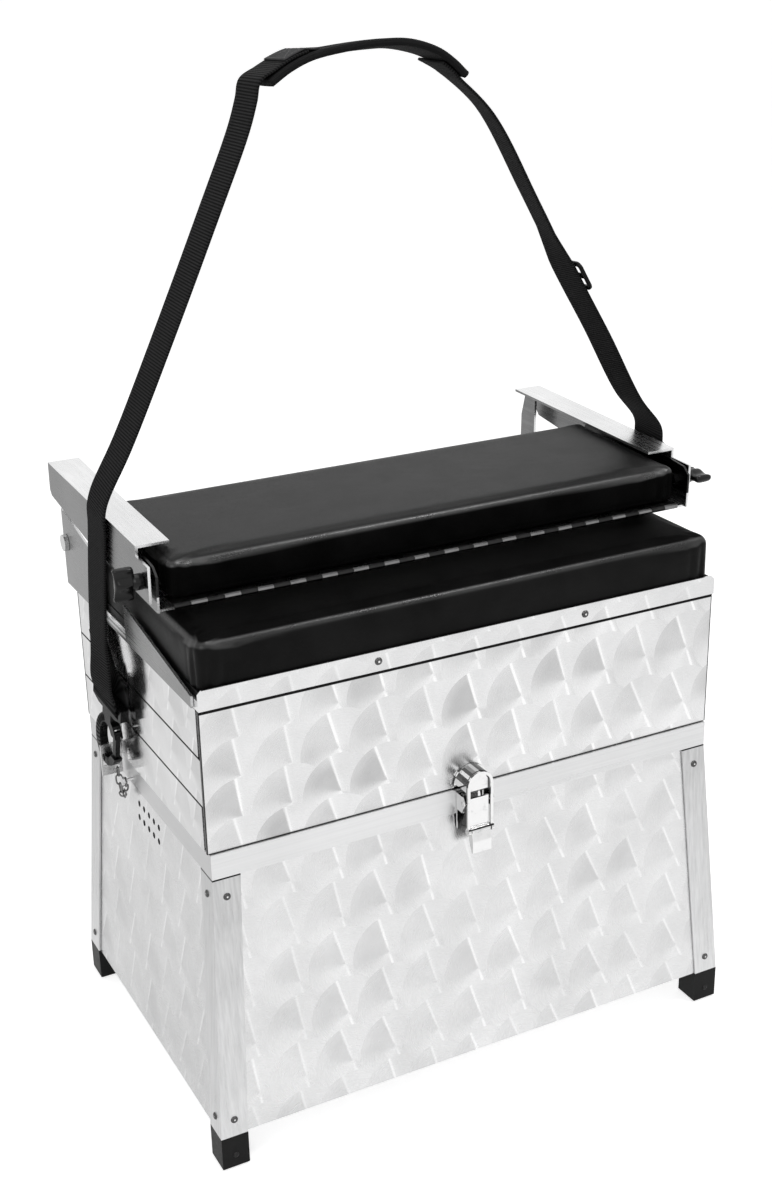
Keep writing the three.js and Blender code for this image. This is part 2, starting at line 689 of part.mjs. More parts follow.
function rear_hinges() {
  const rim_face = rim_half_y + seam;
  const back_face = upper_half_y + seam;
  const lower = piano_hinge({
    length: hinge_length, knuckles: hinge_knuckles, y: hinge_y, z: hinge_z, radius: hinge_knuckle_radius,
    fixed: {
      leaf: [rim_face, rim_face + hinge_leaf, hinge_z - hinge_knuckle_radius - hinge_leaf_height,
        hinge_z - hinge_knuckle_radius - seam],
      neck: [rim_face, hinge_y, hinge_z - hinge_knuckle_radius - hinge_leaf, hinge_z - hinge_leaf],
    },
    moving: {
      leaf: [back_face, back_face + hinge_leaf, hinge_z + hinge_knuckle_radius + seam,
        hinge_z + hinge_knuckle_radius + hinge_leaf_height],
      neck: [back_face, hinge_y, hinge_z + hinge_leaf, hinge_z + hinge_knuckle_radius + hinge_leaf],
    },
  });
  add('lower_hinge_fixed_leaf', lower.fixed, steel);
  add('lower_hinge_moving_leaf', lower.moving, steel);
  const lid = piano_hinge({
    length: hinge_length, knuckles: hinge_knuckles, y: lid_hinge_y, z: lid_hinge_z,
    radius: hinge_knuckle_radius,
    fixed: {
      leaf: [back_face, back_face + hinge_leaf, lid_hinge_z - hinge_knuckle_radius - hinge_leaf_height,
        lid_hinge_z - hinge_knuckle_radius - seam],
      neck: [back_face, lid_hinge_y, lid_hinge_z - hinge_knuckle_radius - hinge_leaf,
        lid_hinge_z - hinge_leaf],
    },
    moving: {
      leaf: [back_face, back_face + hinge_leaf, lid_hinge_z + hinge_knuckle_radius + seam,
        lid_z0 + pan_back_height - seam],
      neck: [back_face, lid_hinge_y, lid_hinge_z + hinge_leaf,
        lid_hinge_z + hinge_knuckle_radius + hinge_leaf],
    },
  });
  add('lid_hinge_fixed_leaf', lid.fixed, steel);
  add('lid_hinge_moving_leaf', lid.moving, steel);
}

// Seat lid: a shallow pan with a taller front strip, a board in it and the cushion on top
function seat_lid() {
  const front = -upper_half_y - front_strip_proud;
  const back = upper_half_y;
  const outside = box(-pan_half_x, pan_half_x, front, back, lid_z0, lid_z0 + pan_side_height);
  const inside = box(-pan_half_x + pan_sheet, pan_half_x - pan_sheet, front + pan_sheet, back - pan_sheet,
    lid_z0 + pan_sheet, lid_z0 + pan_side_height + cut_overrun);
  const rear_wall = box(-pan_half_x, pan_half_x, back - pan_sheet, back, lid_z0, lid_z0 + pan_back_height);
  const strip_outline = cut_rectangle(-pan_half_x, pan_half_x, lid_z0, lid_z0 + front_strip_height, 0,
    front_strip_corner / 2);
  const strip = prism_y(strip_outline, front, front + pan_sheet);
  const screws = lid_screw_places.map((x) => rivet_head('y', -1, x, front, lid_z0 + front_strip_height / 2,
    rivet_radius, rivet_height));
  add('seat_lid_pan', join(outside.subtract(inside), rear_wall, strip, ...screws), satin_aluminium);
  const board_x = pan_half_x - pan_sheet - seam;
  add('seat_board', box(-board_x, board_x, front + pan_sheet + seam, back - pan_sheet - seam, board_z0,
    board_z0 + board_thickness), plywood);
  const seat_cushion_front = front + pan_sheet + seam;
  const seat_cushion_depth = upper_half_y - seat_cushion_set_back - seat_cushion_front;
  const seat_cushion_width = 2 * (pan_half_x - seat_cushion_side_clearance);
  const seat = cushion(seat_cushion_width, seat_cushion_depth, seat_cushion_height, {
    corner: seat_cushion_height / 4, edge: seat_cushion_height / 5, crown: seat_cushion_height / 12,
    draw: seat_cushion_height / 25, cells_x: 14, cells_y: 8, side_rows: 3,
  });
  const cushion_middle = seat_cushion_front + seat_cushion_depth / 2;
  add('seat_cushion', seat.translate([0, cushion_middle, seat_cushion_z0]), vinyl);

  const bottom = lid_z0 + side_plate_rise;
  const plate_front = -upper_half_y + side_plate_set_back;
  const plate_rear = pivot_y + side_plate_behind_pivot;
  const wedge_back = plate_front + side_plate_wedge_length;
  const bracket_front = wedge_back + side_plate_gap_length;
  for (const [name, sx] of sides) {
    const inner = sx * side_plate_inner;
    const outer = sx * (side_plate_inner + sheet);
    const outline = [[plate_front, bottom], [plate_rear, bottom],
      [plate_rear, pivot_z + side_plate_above_pivot],
      [bracket_front, bottom + side_plate_bracket_height], [bracket_front, bottom + side_plate_sill],
      [wedge_back, bottom + side_plate_sill], [wedge_back, bottom + side_plate_wedge_height],
      [plate_front, bottom + side_plate_front_height]];
    const bore = prism_x(circle(pivot_y, pivot_z, bolt_radius + hole_clearance),
      sx * (side_plate_inner - cut_overrun), sx * (side_plate_inner + sheet + cut_overrun));
    add(`lid_side_plate_${name}`, prism_x(outline, inner, outer).subtract(bore), satin_aluminium);
    const plate_face = side_plate_inner + sheet + seam;
    const arm_inner = side_plate_inner - pivot_arm_inset - sheet;
    const head = prism_x(circle(pivot_y, pivot_z, bolt_head_radius), sx * plate_face,
      sx * (plate_face + bolt_head_height));
    const shank = prism_x(circle(pivot_y, pivot_z, bolt_radius), sx * (plate_face + bolt_head_height),
      sx * (arm_inner - seam - bolt_nut_thickness));
    const nut = prism_x(circle(pivot_y, pivot_z, bolt_head_radius, 6), sx * (arm_inner - seam),
      sx * (arm_inner - seam - bolt_nut_thickness));
    add(`pivot_bolt_${name}`, join(head, shank, nut), steel);
  }
}

// The backrest's pieces lie in the folded group, whose origin is the pivot axis
function backrest() {
  const rail_sheet = sheet;
  for (const [name, sx] of sides) {
    const web_outer = sx * rail_outer_half;
    const web_inner = sx * (rail_outer_half - rail_sheet);
    const web_outline = [[web_front, web_low], [web_taper_start, web_low],
      [rail_rear - web_rear_corner, web_rear_low],
      [rail_rear, web_rear_low + web_rear_corner], [rail_rear, rail_top], [rail_front, rail_top],
      [rail_front, web_nose_top], [web_front, web_nose_top]];
    const web = prism_x(web_outline, web_outer, web_inner);
    const flange = box(web_outer, sx * (side_plate_inner - rail_flange_inboard), rail_front, rail_rear,
      rail_top - rail_sheet, rail_top);
    const arm_outer = sx * (side_plate_inner - pivot_arm_inset);
    const arm_inner = sx * (side_plate_inner - pivot_arm_inset - rail_sheet);
    const arm_half = pivot_arm_width / 2;
    const arm_outline = [[-arm_half, -pivot_arm_below + arm_half / 2], [-arm_half / 2, -pivot_arm_below],
      [arm_half / 2, -pivot_arm_below], [arm_half, -pivot_arm_below + arm_half / 2],
      [arm_half, web_rear_low], [rail_rear, rail_top - rail_sheet / 2],
      [-arm_half, rail_top - rail_sheet / 2]];
    const arm = prism_x(arm_outline, arm_outer, arm_inner);
    const hole_places = [[0, 0, bolt_radius], [knob_y, knob_z, stud_radius],
      [rear_stud_y, rear_stud_z, stud_radius]];
    const holes = hole_places.map(([y, z, radius]) => prism_x(circle(y, z, radius + hole_clearance),
      sx * (rail_outer_half + cut_overrun),
      sx * (side_plate_inner - pivot_arm_inset - rail_sheet - cut_overrun)));
    add(`rail_${name}`, join(web, flange, arm).subtract(join(...holes)), satin_aluminium, folded_backrest);

    const plate_outline = [[carrier_front, carrier_low], [carrier_rear, carrier_low],
      [carrier_rear, carrier_top - carrier_corner], [carrier_rear - carrier_corner, carrier_top],
      [rail_front, carrier_top], [carrier_front + carrier_corner, carrier_top - carrier_corner / 4],
      [carrier_front, carrier_top - carrier_corner]];
    const plate = prism_x(plate_outline, sx * carrier_outer_half, sx * (carrier_outer_half - carrier_sheet));
    const leg = box(sx * carrier_outer_half, sx * (carrier_outer_half - carrier_leg), pad_front, carrier_rear,
      carrier_low, carrier_low + carrier_sheet);
    const nut_face = carrier_outer_half - carrier_sheet;
    const nut = prism_x(circle(knob_y, knob_z, nut_radius, 6), sx * (nut_face + carrier_sheet / 2),
      sx * (nut_face - nut_thickness));
    const shoulder = prism_x(circle(rear_stud_y, rear_stud_z, nut_radius, round_sides),
      sx * (carrier_outer_half - carrier_sheet / 2), sx * (rail_outer_half - rail_sheet - seam));
    const rear_stud = prism_x(circle(rear_stud_y, rear_stud_z, stud_radius),
      sx * (carrier_outer_half - carrier_sheet / 2), sx * rail_outer_half);
    const bore = prism_x(circle(knob_y, knob_z, stud_radius + hole_clearance),
      sx * (rail_outer_half + cut_overrun), sx * (nut_face - nut_thickness - cut_overrun));
    add(`pad_carrier_${name}`, join(plate, leg, nut, shoulder, rear_stud).subtract(bore), satin_aluminium,
      folded_backrest);

    // the wing knob: a tapered paddle on a round stem, with its stud through the web into the nut
    const face = rail_outer_half + seam;
    const root = face + knob_stem_length;
    const tip = root + knob_length;
    const upright = sx < 0;
    const paddle_ring = (x, thickness, span) => {
      const a = thickness / 2;
      const b = span / 2;
      const cut = Math.min(a, knob_corner) / 2;
      const points = [[-a + cut, -b], [a - cut, -b], [a, -b + cut], [a, b - cut], [a - cut, b], [-a + cut, b],
        [-a, b - cut], [-a, -b + cut]];
      return points.map(([u, v]) => (upright ? [u, v] : [v, -u]))
        .map(([u, v]) => new THREE.Vector3(sx * x, knob_y + u, knob_z + v));
    };
    const paddle = skin([
      paddle_ring(root - knob_corner / 2, knob_root_thickness, knob_span - 2 * knob_corner),
      paddle_ring(root + knob_corner / 2, knob_root_thickness, knob_span),
      paddle_ring(tip - knob_corner, knob_tip_thickness, knob_span),
      paddle_ring(tip, knob_tip_thickness / 2, knob_span - knob_corner)]);
    const stem = prism_x(circle(knob_y, knob_z, knob_stem_radius), sx * face, sx * (root + knob_corner));
    const stud = prism_x(circle(knob_y, knob_z, stud_radius), sx * (face + knob_stem_length / 2),
      sx * (nut_face - nut_thickness));
    add(`knob_${name}`, join(paddle, stem, stud), black_plastic, folded_backrest);
  }

  const leg_top = carrier_low + carrier_sheet;
  const axis_y = pad_front - pad_hinge_radius - seam;
  const lower_leaf_z = leg_top + seam;
  const upper_leaf_z = lower_leaf_z + pad_hinge_leaf + seam;
  const axis_z = upper_leaf_z - seam / 2;
  const leaf_back = pad_front + pad_hinge_leaf_depth;
  const hinge = piano_hinge({
    length: pad_hinge_knuckles * pad_hinge_pitch, knuckles: pad_hinge_knuckles, y: axis_y, z: axis_z,
    radius: pad_hinge_radius,
    fixed: {
      leaf: [pad_front, leaf_back, lower_leaf_z, lower_leaf_z + pad_hinge_leaf],
      neck: [axis_y, pad_front + pad_hinge_leaf, lower_leaf_z, lower_leaf_z + pad_hinge_leaf],
    },
    moving: {
      leaf: [pad_front, leaf_back, upper_leaf_z, upper_leaf_z + pad_hinge_leaf],
      neck: [axis_y, pad_front + pad_hinge_leaf, upper_leaf_z, upper_leaf_z + pad_hinge_leaf],
    },
  });
  add('pad_hinge_lower_leaf', hinge.fixed, steel, folded_backrest);
  add('pad_hinge_upper_leaf', hinge.moving, steel, folded_backrest);

  const pad_z0 = upper_leaf_z + pad_hinge_leaf + seam;
  add('backrest_board', box(-pad_width / 2, pad_width / 2, pad_front, pad_front + pad_depth, pad_z0,
    pad_z0 + pad_board_thickness), plywood, folded_backrest);
  const pad = cushion(pad_width, pad_depth, pad_height, {
    corner: pad_height / 4, edge: pad_height / 3, crown: pad_height / 14, draw: pad_height / 24,
    cells_x: 14, cells_y: 5, side_rows: 3,
  });
  add('backrest_cushion', pad.translate([0, pad_front + pad_depth / 2, pad_z0 + pad_board_thickness + seam]),
    vinyl, folded_backrest);
}

// Draw latch: the base and its lever on the lower box, the keeper on the upper section
function latch() {
  const top = rim_z1 - latch_base_drop;
  const face = -Math.max(rim_half_y, panel_half_y(top - latch_base_height)) - seam;
  const plate_front = face - latch_base_sheet;
  const half = latch_base_width / 2;
  const pivot_out_y = -rim_half_y - latch_pivot_out;
  const pivot_height = rim_z1 - latch_pivot_drop;
  const plate_outline = cut_rectangle(latch_x - half, latch_x + half, top - latch_base_height, top, half / 3, 0);
  const plate = prism_y(plate_outline, face, plate_front);
  const ears = sides.map(([, sx]) => prism_x([[plate_front + latch_base_sheet / 2, top],
    [plate_front + latch_base_sheet / 2, top - latch_ear_height],
    [pivot_out_y, top - latch_ear_height], [pivot_out_y - lever_barrel_radius, pivot_height],
    [pivot_out_y, top]], latch_x + sx * (half - latch_ear), latch_x + sx * half));
  const pin_bore = prism_x(circle(pivot_out_y, pivot_height, latch_pin_radius + hole_clearance),
    latch_x - half - cut_overrun, latch_x + half + cut_overrun);
  add('latch_base', join(plate, ...ears).subtract(pin_bore), chrome);

  const lever_back = pivot_out_y - lever_out + lever_sheet;
  const lever_front = lever_back - lever_sheet;
  const lever_low = pivot_height - lever_length;
  const lever_plate = box(latch_x - lever_half_width, latch_x + lever_half_width, lever_front, lever_back,
    lever_low + tab_length / 2, pivot_height + lever_head);
  const tab = prism_x([[lever_back, lever_low + tab_length], [lever_back, lever_low + tab_length / 2],
    [lever_front - tab_out / 2, lever_low], [lever_front - tab_out, lever_low],
    [lever_front - tab_out, lever_low + tab_length / 2], [lever_front - tab_out / 2, lever_low + tab_length]],
  latch_x - lever_half_width, latch_x + lever_half_width);
  const barrel = prism_x(circle(pivot_out_y, pivot_height, lever_barrel_radius),
    latch_x - lever_half_width, latch_x + lever_half_width);
  const pin = prism_x(circle(pivot_out_y, pivot_height, latch_pin_radius), latch_x - half, latch_x + half);
  const bail_y = pivot_out_y - lever_out - bail_keeper_gap;
  const bail_pin_z = pivot_height - bail_pin_drop;
  const bail_outer = bail_inner_half + bail_wire;
  const bail_pin = prism_x(circle(bail_y, bail_pin_z, bail_pin_radius),
    latch_x - bail_outer, latch_x + bail_outer);
  const bail_lug = prism_x(circle(bail_y, bail_pin_z, lever_barrel_radius), latch_x - lever_half_width,
    latch_x + lever_half_width);
  add('latch_lever', join(lever_plate, tab, barrel, pin, bail_pin, bail_lug), chrome);

  const arch_z = rim_z1 + bail_arch_rise;
  const arch_steps = 12;
  const outer_arc = circle(latch_x, arch_z, bail_outer, arch_steps, 0, Math.PI);
  const inner_arc = circle(latch_x, arch_z, bail_inner_half, arch_steps, 0, Math.PI).reverse();
  const bail_outline = [[latch_x + bail_outer, bail_pin_z], ...outer_arc, [latch_x - bail_outer, bail_pin_z],
    [latch_x - bail_inner_half, bail_pin_z], ...inner_arc, [latch_x + bail_inner_half, bail_pin_z]];
  const bow = prism_y(bail_outline, bail_y - bail_sheet / 2, bail_y + bail_sheet / 2);
  const eyes = sides.map(([, sx]) => prism_x(circle(bail_y, bail_pin_z, bail_eye_radius),
    latch_x + sx * bail_inner_half, latch_x + sx * bail_outer));
  const eye_bore = prism_x(circle(bail_y, bail_pin_z, bail_pin_radius + hole_clearance),
    latch_x - bail_outer - cut_overrun, latch_x + bail_outer + cut_overrun);
  add('latch_bail', join(bow, ...eyes).subtract(eye_bore), chrome);

  const keeper_z = upper_z0 + keeper_rise;
  const wall = -upper_half_y - seam;
  const keeper_front = bail_y + bail_sheet / 2 + bail_keeper_gap;
  const disc = (radius, rise, y0, y1) => prism_y([[latch_x + radius, keeper_z],
    ...circle(latch_x, keeper_z + rise, radius, arch_steps, 0, Math.PI),
    [latch_x - radius, keeper_z]], y0, y1);
  add('latch_keeper', join(disc(keeper_plate_radius, keeper_rise, wall, wall - keeper_plate),
    disc(keeper_radius, bail_arch_rise - keeper_rise, wall - keeper_plate / 2, keeper_front)), chrome);
}

// Strap brackets, snap hooks and their gates
const hook_middle_x = upper_half_x + hook_out;
const hook_bar_z = upper_z0 - hook_bar_drop;
const chain_hole_z = hook_bar_z - chain_hole_drop;
const hook_top = 2 * hook_ring_half_z + hook_bar / 2 + hook_neck_height;
const slot_z = hook_top + hook_eye_height / 2;

// A hook is drawn with the middle of its lower bar at the origin, then hung in its bracket
function hung(sx) {
  return new THREE.Matrix4().makeTranslation(sx * hook_middle_x, hook_bar_y, hook_bar_z)
    .multiply(new THREE.Matrix4().makeRotationZ(THREE.MathUtils.degToRad(-sx * hook_turn_deg)))
    .multiply(new THREE.Matrix4().makeRotationX(THREE.MathUtils.degToRad(hook_lean_deg)));
}

function ellipse(cy, cz, half_y, half_z, count = hook_ring_sides) {
  return Array.from({ length: count }, (unused, i) => {
    const angle = 2 * Math.PI * i / count;
    return [cy + half_y * Math.cos(angle), cz + half_z * Math.sin(angle)];
  });
}

function strap_fittings() {
  for (const [name, sx] of sides) {
    const wall = upper_half_x + seam;
    const x = (out) => sx * (wall + out);
    const plate_low = upper_z0 + bracket_rise;
    const ear_y = hook_bar_y + bracket_sheet / 2;
    const plate = box(x(0), x(bracket_sheet), ear_y, ear_y + bracket_width,
      plate_low, plate_low + bracket_height);
    const ear = box(x(0), x(bracket_ear_out), ear_y, ear_y - bracket_sheet, hook_bar_z - bracket_ear_below,
      hook_bar_z + bracket_ear_above);
    const knee = box(x(0), x(bracket_sheet), ear_y - bracket_sheet, ear_y + bracket_sheet, plate_low,
      hook_bar_z + bracket_ear_above);
    const eye = box(sx * (hook_middle_x - bracket_eye_wide / 2), sx * (hook_middle_x + bracket_eye_wide / 2),
      ear_y - bracket_sheet - cut_overrun, ear_y + cut_overrun, hook_bar_z - bracket_eye_high / 2,
      hook_bar_z + bracket_eye_high / 2);
    const chain_hole = prism_y(circle(sx * chain_x, chain_hole_z, chain_hole_radius, small_round_sides),
      ear_y - bracket_sheet - cut_overrun, ear_y + cut_overrun);
    const screw = rivet_head('x', sx, x(bracket_sheet), ear_y + bracket_width / 2,
      plate_low + bracket_height / 2, rivet_radius, rivet_height);
    add(`strap_bracket_${name}`, join(plate, knee, ear).subtract(eye).subtract(chain_hole).add(screw), steel);

    // the ring's lower bar passes through the bracket's eye, and its front side is the gate's opening
    const half = hook_thickness / 2;
    const through = half + cut_overrun;
    const middle_z = hook_ring_half_z;
    const ring = prism_x(
      ellipse(0, middle_z, hook_ring_half_y + hook_bar / 2, hook_ring_half_z + hook_bar / 2),
      -half, half).subtract(prism_x(ellipse(0, middle_z, hook_ring_half_y - hook_bar / 2,
      hook_ring_half_z - hook_bar / 2), -through, through));
    const mouth = box(-through, through, -hook_ring_half_y - hook_bar, -hook_ring_half_y + hook_bar,
      middle_z - gate_length / 2, middle_z + gate_length / 2);
    const neck = prism_x(rectangle(-hook_neck_width / 2, hook_neck_width / 2,
      middle_z + hook_ring_half_z - hook_bar / 2, hook_top + hook_eye_bar / 2), -half, half);
    const eye_shoulder = hook_top + hook_eye_height / 4;
    const eye_outer = prism_x([[-hook_neck_width, hook_top], [hook_neck_width, hook_top],
      [hook_eye_half, eye_shoulder], [hook_eye_half, hook_top + hook_eye_height],
      [-hook_eye_half, hook_top + hook_eye_height], [-hook_eye_half, eye_shoulder]], -half, half);
    const slot = box(-through, through, -hook_eye_half + hook_eye_bar, hook_eye_half - hook_eye_bar,
      hook_top + hook_eye_bar, hook_top + hook_eye_height - hook_eye_bar);
    const pivot = [-hook_ring_half_y + gate_width / 2, middle_z + gate_length / 2 + gate_width / 2];
    const cheek = gate_thickness / 2 + seam;
    const pocket = box(-cheek, cheek, pivot[0] - hook_bar, pivot[0] + gate_width, pivot[1] - gate_width,
      pivot[1] + gate_width);
    const gate_pin = prism_x(circle(...pivot, gate_pin_radius, small_round_sides), -half, half);
    const hook = join(ring.subtract(mouth), neck, eye_outer.subtract(slot)).subtract(pocket).add(gate_pin);
    add(`snap_hook_${name}`, hook.transform(hung(sx).toArray()), black_plastic);

    const gate_low = middle_z - gate_length / 2 + gate_gap;
    const blade = prism_x(rectangle(pivot[0] - gate_width / 2, pivot[0] + gate_width / 2, gate_low, pivot[1]),
      -gate_thickness / 2, gate_thickness / 2);
    const gate_head = prism_x(circle(...pivot, gate_width / 2), -gate_thickness / 2, gate_thickness / 2);
    const gate_bore = prism_x(circle(...pivot, gate_pin_radius + hole_clearance), -through, through);
    add(`hook_gate_${name}`, join(blade, gate_head).subtract(gate_bore).transform(hung(sx).toArray()),
      black_plastic);
  }
}

// The strap stands up in an arch. From its loose end it goes down to the hook's eye, round the eye's top
// bar, up again outside the rail, and over to the shoulder pad. Its shares were chosen by hand.
const strap_x = rail_outer_half + strap_web_gap + webbing_thickness;
const wrap = hook_thickness / 2 + webbing_thickness / 2 + 2 * seam;
const exit_x = hook_middle_x + wrap;
const hook_over_z = hook_top + hook_eye_height;
const hook_lean = THREE.MathUtils.degToRad(hook_lean_deg);
const exit_y = hook_bar_y - hook_over_z * Math.sin(hook_lean);
const exit_z = hook_bar_z + hook_over_z * Math.cos(hook_lean) + strap_exit_rise;
const backrest_slope = THREE.MathUtils.degToRad(backrest_slope_deg);
const edge_z = pivot_z + rail_top * Math.cos(backrest_slope) - pivot_y * Math.sin(backrest_slope)
  + strap_edge_clearance;
// [out of the hook's plane towards the rail's, towards the rail's edge, up, of the buckle's bulge]
const left_lower_shares = [[0, 0, 0, 0], [0.5, -0.02, 0.12, 0], [1, -0.06, 0.257, 0], [1, 0.31, 0.56, 0],
  [1, 0.81, 0.878, 0], [1, 1, 1, 0.08]];
const right_lower_shares = [[0, 0, 0, 0], [0.5, 0.04, 0.12, 0.2], [1, 0.15, 0.257, 0.4], [1, 0.57, 0.56, 0.8],
  [1, 0.91, 0.84, 1], [1, 1, 0.96, 0.8]];
// [in towards the pad, forwards to the pad, up]
const left_upper_shares = [[0.018, 0.11, 0.041], [0.159, 0.41, 0.171], [0.419, 0.7, 0.432],
  [0.677, 0.93, 0.699], [0.871, 1, 0.901], [0.92, 1, 0.968], [0.946, 1, 1.012]];
const right_upper_shares = [[-0.0087, -0.06, 0.021], [0.105, 0.06, 0.109], [0.267, 0.44, 0.295],
  [0.417, 0.69, 0.453], [0.625, 0.875, 0.679], [0.827, 1, 0.901]];
const tail_shares = [[1, 1], [0.68, 0.47], [0.39, 0]];
const pad_shares = [[-1, 0], [-0.82, 0.385], [-0.6, 0.69], [-0.25, 0.88], [0.1, 0.97], [0.4, 0.95],
  [0.7, 0.67], [0.88, 0.32], [1, 0]];
const pad_end_z = edge_z + strap_reach;
const lerp = THREE.MathUtils.lerp;

function tail_route(sx) {
  return tail_shares.map(([back, up]) => [sx * (hook_middle_x - wrap), exit_y + back * tail_back,
    exit_z + up * tail_rise]);
}

function rise_route(sx, edge_y, lower, upper) {
  const pad_end_x = pad_middle_x + sx * pad_half_length;
  return [...lower.map(([out, forward, up, bulge]) => [
    sx * (lerp(exit_x, strap_x, out) + bulge * buckle_bulge), lerp(exit_y, edge_y, forward),
    lerp(exit_z, edge_z, up)]),
  ...upper.map(([inward, forward, up]) => [
    lerp(sx * strap_x, pad_end_x, inward), lerp(edge_y, strap_top_y, forward), lerp(edge_z, pad_end_z, up)])];
}

const left_tail = tail_route(-1);
const right_tail = tail_route(1);
const left_rise = rise_route(-1, left_edge_y, left_lower_shares, left_upper_shares);
const right_rise = rise_route(1, right_edge_y, right_lower_shares, right_upper_shares);
const pad_route = pad_shares.map(([along, up]) => [pad_middle_x + along * pad_half_length, strap_top_y,
  pad_end_z + up * pad_rise]);
const sewn_over_shares = [0.05, 0.12, 0.19, 0.26];   // along the shoulder pad from its left end
const sewn_under_shares = [0.02, 0.08, 0.14, 0.2];   // and from its right end
const adjuster_route_share = 0.66;              // along the right webbing
const buckle_route_share = 0.37;

function points_of(route) {
  return route.map(([x, y, z]) => new THREE.Vector3(x, y, z));
}

function full_route(tail, rise, sx) {
  const slot_half = hook_eye_height / 2 - hook_eye_bar;
  const half_turn = [[wrap, 0, slot_z + slot_half + hook_eye_bar], [wrap, 0, slot_z + slot_half],
    [wrap * 0.86, 0, slot_z + slot_half * 0.42]];
  const turn = [...half_turn.map(([x, y, z]) => [-sx * x, y, z]), [0, 0, slot_z],
    ...half_turn.reverse().map(([x, y, z]) => [sx * x, y, z])];
  const bend = points_of(turn).map((p) => p.applyMatrix4(hung(sx)));
  return [...points_of(tail), ...bend, ...points_of(rise)];
}

// A flat frame of two slots, its long side across the webbing
function triglide() {
  const half_long = adjuster_length / 2;
  const half_wide = webbing_width / 2 + adjuster_bar;
  const half_thick = adjuster_thickness / 2;
  const frame = box(-half_wide, half_wide, -half_long, half_long, -half_thick, half_thick);
  const through = adjuster_thickness / 2 + cut_overrun;
  const slots = [-1, 1].map((sign) => box(-webbing_width / 2, webbing_width / 2, sign * adjuster_bar / 2,
    sign * (half_long - adjuster_bar), -through, through));
  return frame.subtract(join(...slots));
}

// A closed buckle body with a waist
function cam_buckle() {
  const half_long = buckle_length / 2;
  const half_wide = webbing_width / 2 + adjuster_bar;
  const waist = half_wide - adjuster_bar / 2;
  const outline = [[-half_wide, -half_long], [half_wide, -half_long], [half_wide, -half_long / 2], [waist, 0],
    [half_wide, half_long / 2], [half_wide, half_long], [-half_wide, half_long], [-half_wide, half_long / 2],
    [-waist, 0], [-half_wide, -half_long / 2]];
  return prism_z(outline, -buckle_thickness / 2, buckle_thickness / 2);
}

function strap() {
  const lift = (shoulder_pad_thickness - webbing_thickness) / 2 - seam;
  const pad_points = points_of(pad_route).map((p) => p.add(new THREE.Vector3(0, 0, lift)));
  const pad_curve = new THREE.CatmullRomCurve3(pad_points);
  const lean = THREE.MathUtils.degToRad(pad_lean_deg);
  const pad_across = (middle) => {
    const rightward = Math.min(1, Math.max(0, (middle.x - pad_middle_x) / pad_half_length));
    const turn = THREE.MathUtils.degToRad(pad_turn_deg) * rightward ** 2;
    return new THREE.Vector3(Math.sin(turn), Math.cos(turn) * Math.cos(lean), -Math.sin(lean));
  };
  // the webbing's left end is sewn on top of the shoulder pad, and its right end underneath
  const sewn = (share, side) => {
    const middle = pad_curve.getPointAt(share);
    const along = pad_curve.getTangentAt(share);
    const up = new THREE.Vector3().crossVectors(along, pad_across(middle)).normalize();
    return middle.addScaledVector(up, side * ((shoulder_pad_thickness + webbing_thickness) / 2 + 2 * seam));
  };
  const left = [...full_route(left_tail, left_rise, -1),
    ...sewn_over_shares.map((share) => sewn(share, 1))];
  const right = [...full_route(right_tail, right_rise, 1),
    ...sewn_under_shares.map((share) => sewn(1 - share, -1))];
  // near the hook the webbing leans with it and near the pad with that; between them its width runs back
  const leaning = (sx) => {
    const eye = new THREE.Vector3(0, 0, slot_z).applyMatrix4(hung(sx));
    const leaned = new THREE.Vector3(0, 1, 0).transformDirection(hung(sx));
    const pad_end = pad_points[sx < 0 ? 0 : pad_points.length - 1];
    return (middle) => {
      const far = Math.min(1, Math.max(0, middle.distanceTo(eye) / webbing_width - 0.3));
      const across = leaned.clone().lerp(new THREE.Vector3(0, 1, 0), far);
      const below = (pad_end.z - middle.z) / webbing_width;
      return across.lerp(pad_across(middle), 1 - Math.min(1, Math.max(0, below)));
    };
  };
  add('strap_webbing_left', ribbon(left, 3, webbing_width, webbing_thickness, leaning(-1)), webbing);
  add('strap_webbing_right', ribbon(right, 3, webbing_width, webbing_thickness, leaning(1)), webbing);
  add('shoulder_pad', ribbon(pad_points, 3, shoulder_pad_width, shoulder_pad_thickness, pad_across), webbing);

  const place = (share, thickness) => {
    const curve = new THREE.CatmullRomCurve3(right);
    const along = curve.getTangentAt(share);
    const y_axis = new THREE.Vector3(0, 1, 0);
    const across = y_axis.clone().addScaledVector(along, -y_axis.dot(along)).normalize();
    const face = new THREE.Vector3().crossVectors(across, along);
    if (face.x < 0) {
      face.negate();
      across.negate();
    }
    const middle = curve.getPointAt(share)
      .addScaledVector(face, (webbing_thickness + thickness) / 2 + seam);
    return new THREE.Matrix4().makeBasis(across, along, face).setPosition(middle);
  };
  add('strap_adjuster', triglide().transform(place(adjuster_route_share, adjuster_thickness).toArray()),
    black_plastic);
  add('strap_buckle', cam_buckle().transform(place(buckle_route_share, buckle_thickness).toArray()),
    black_plastic);
}

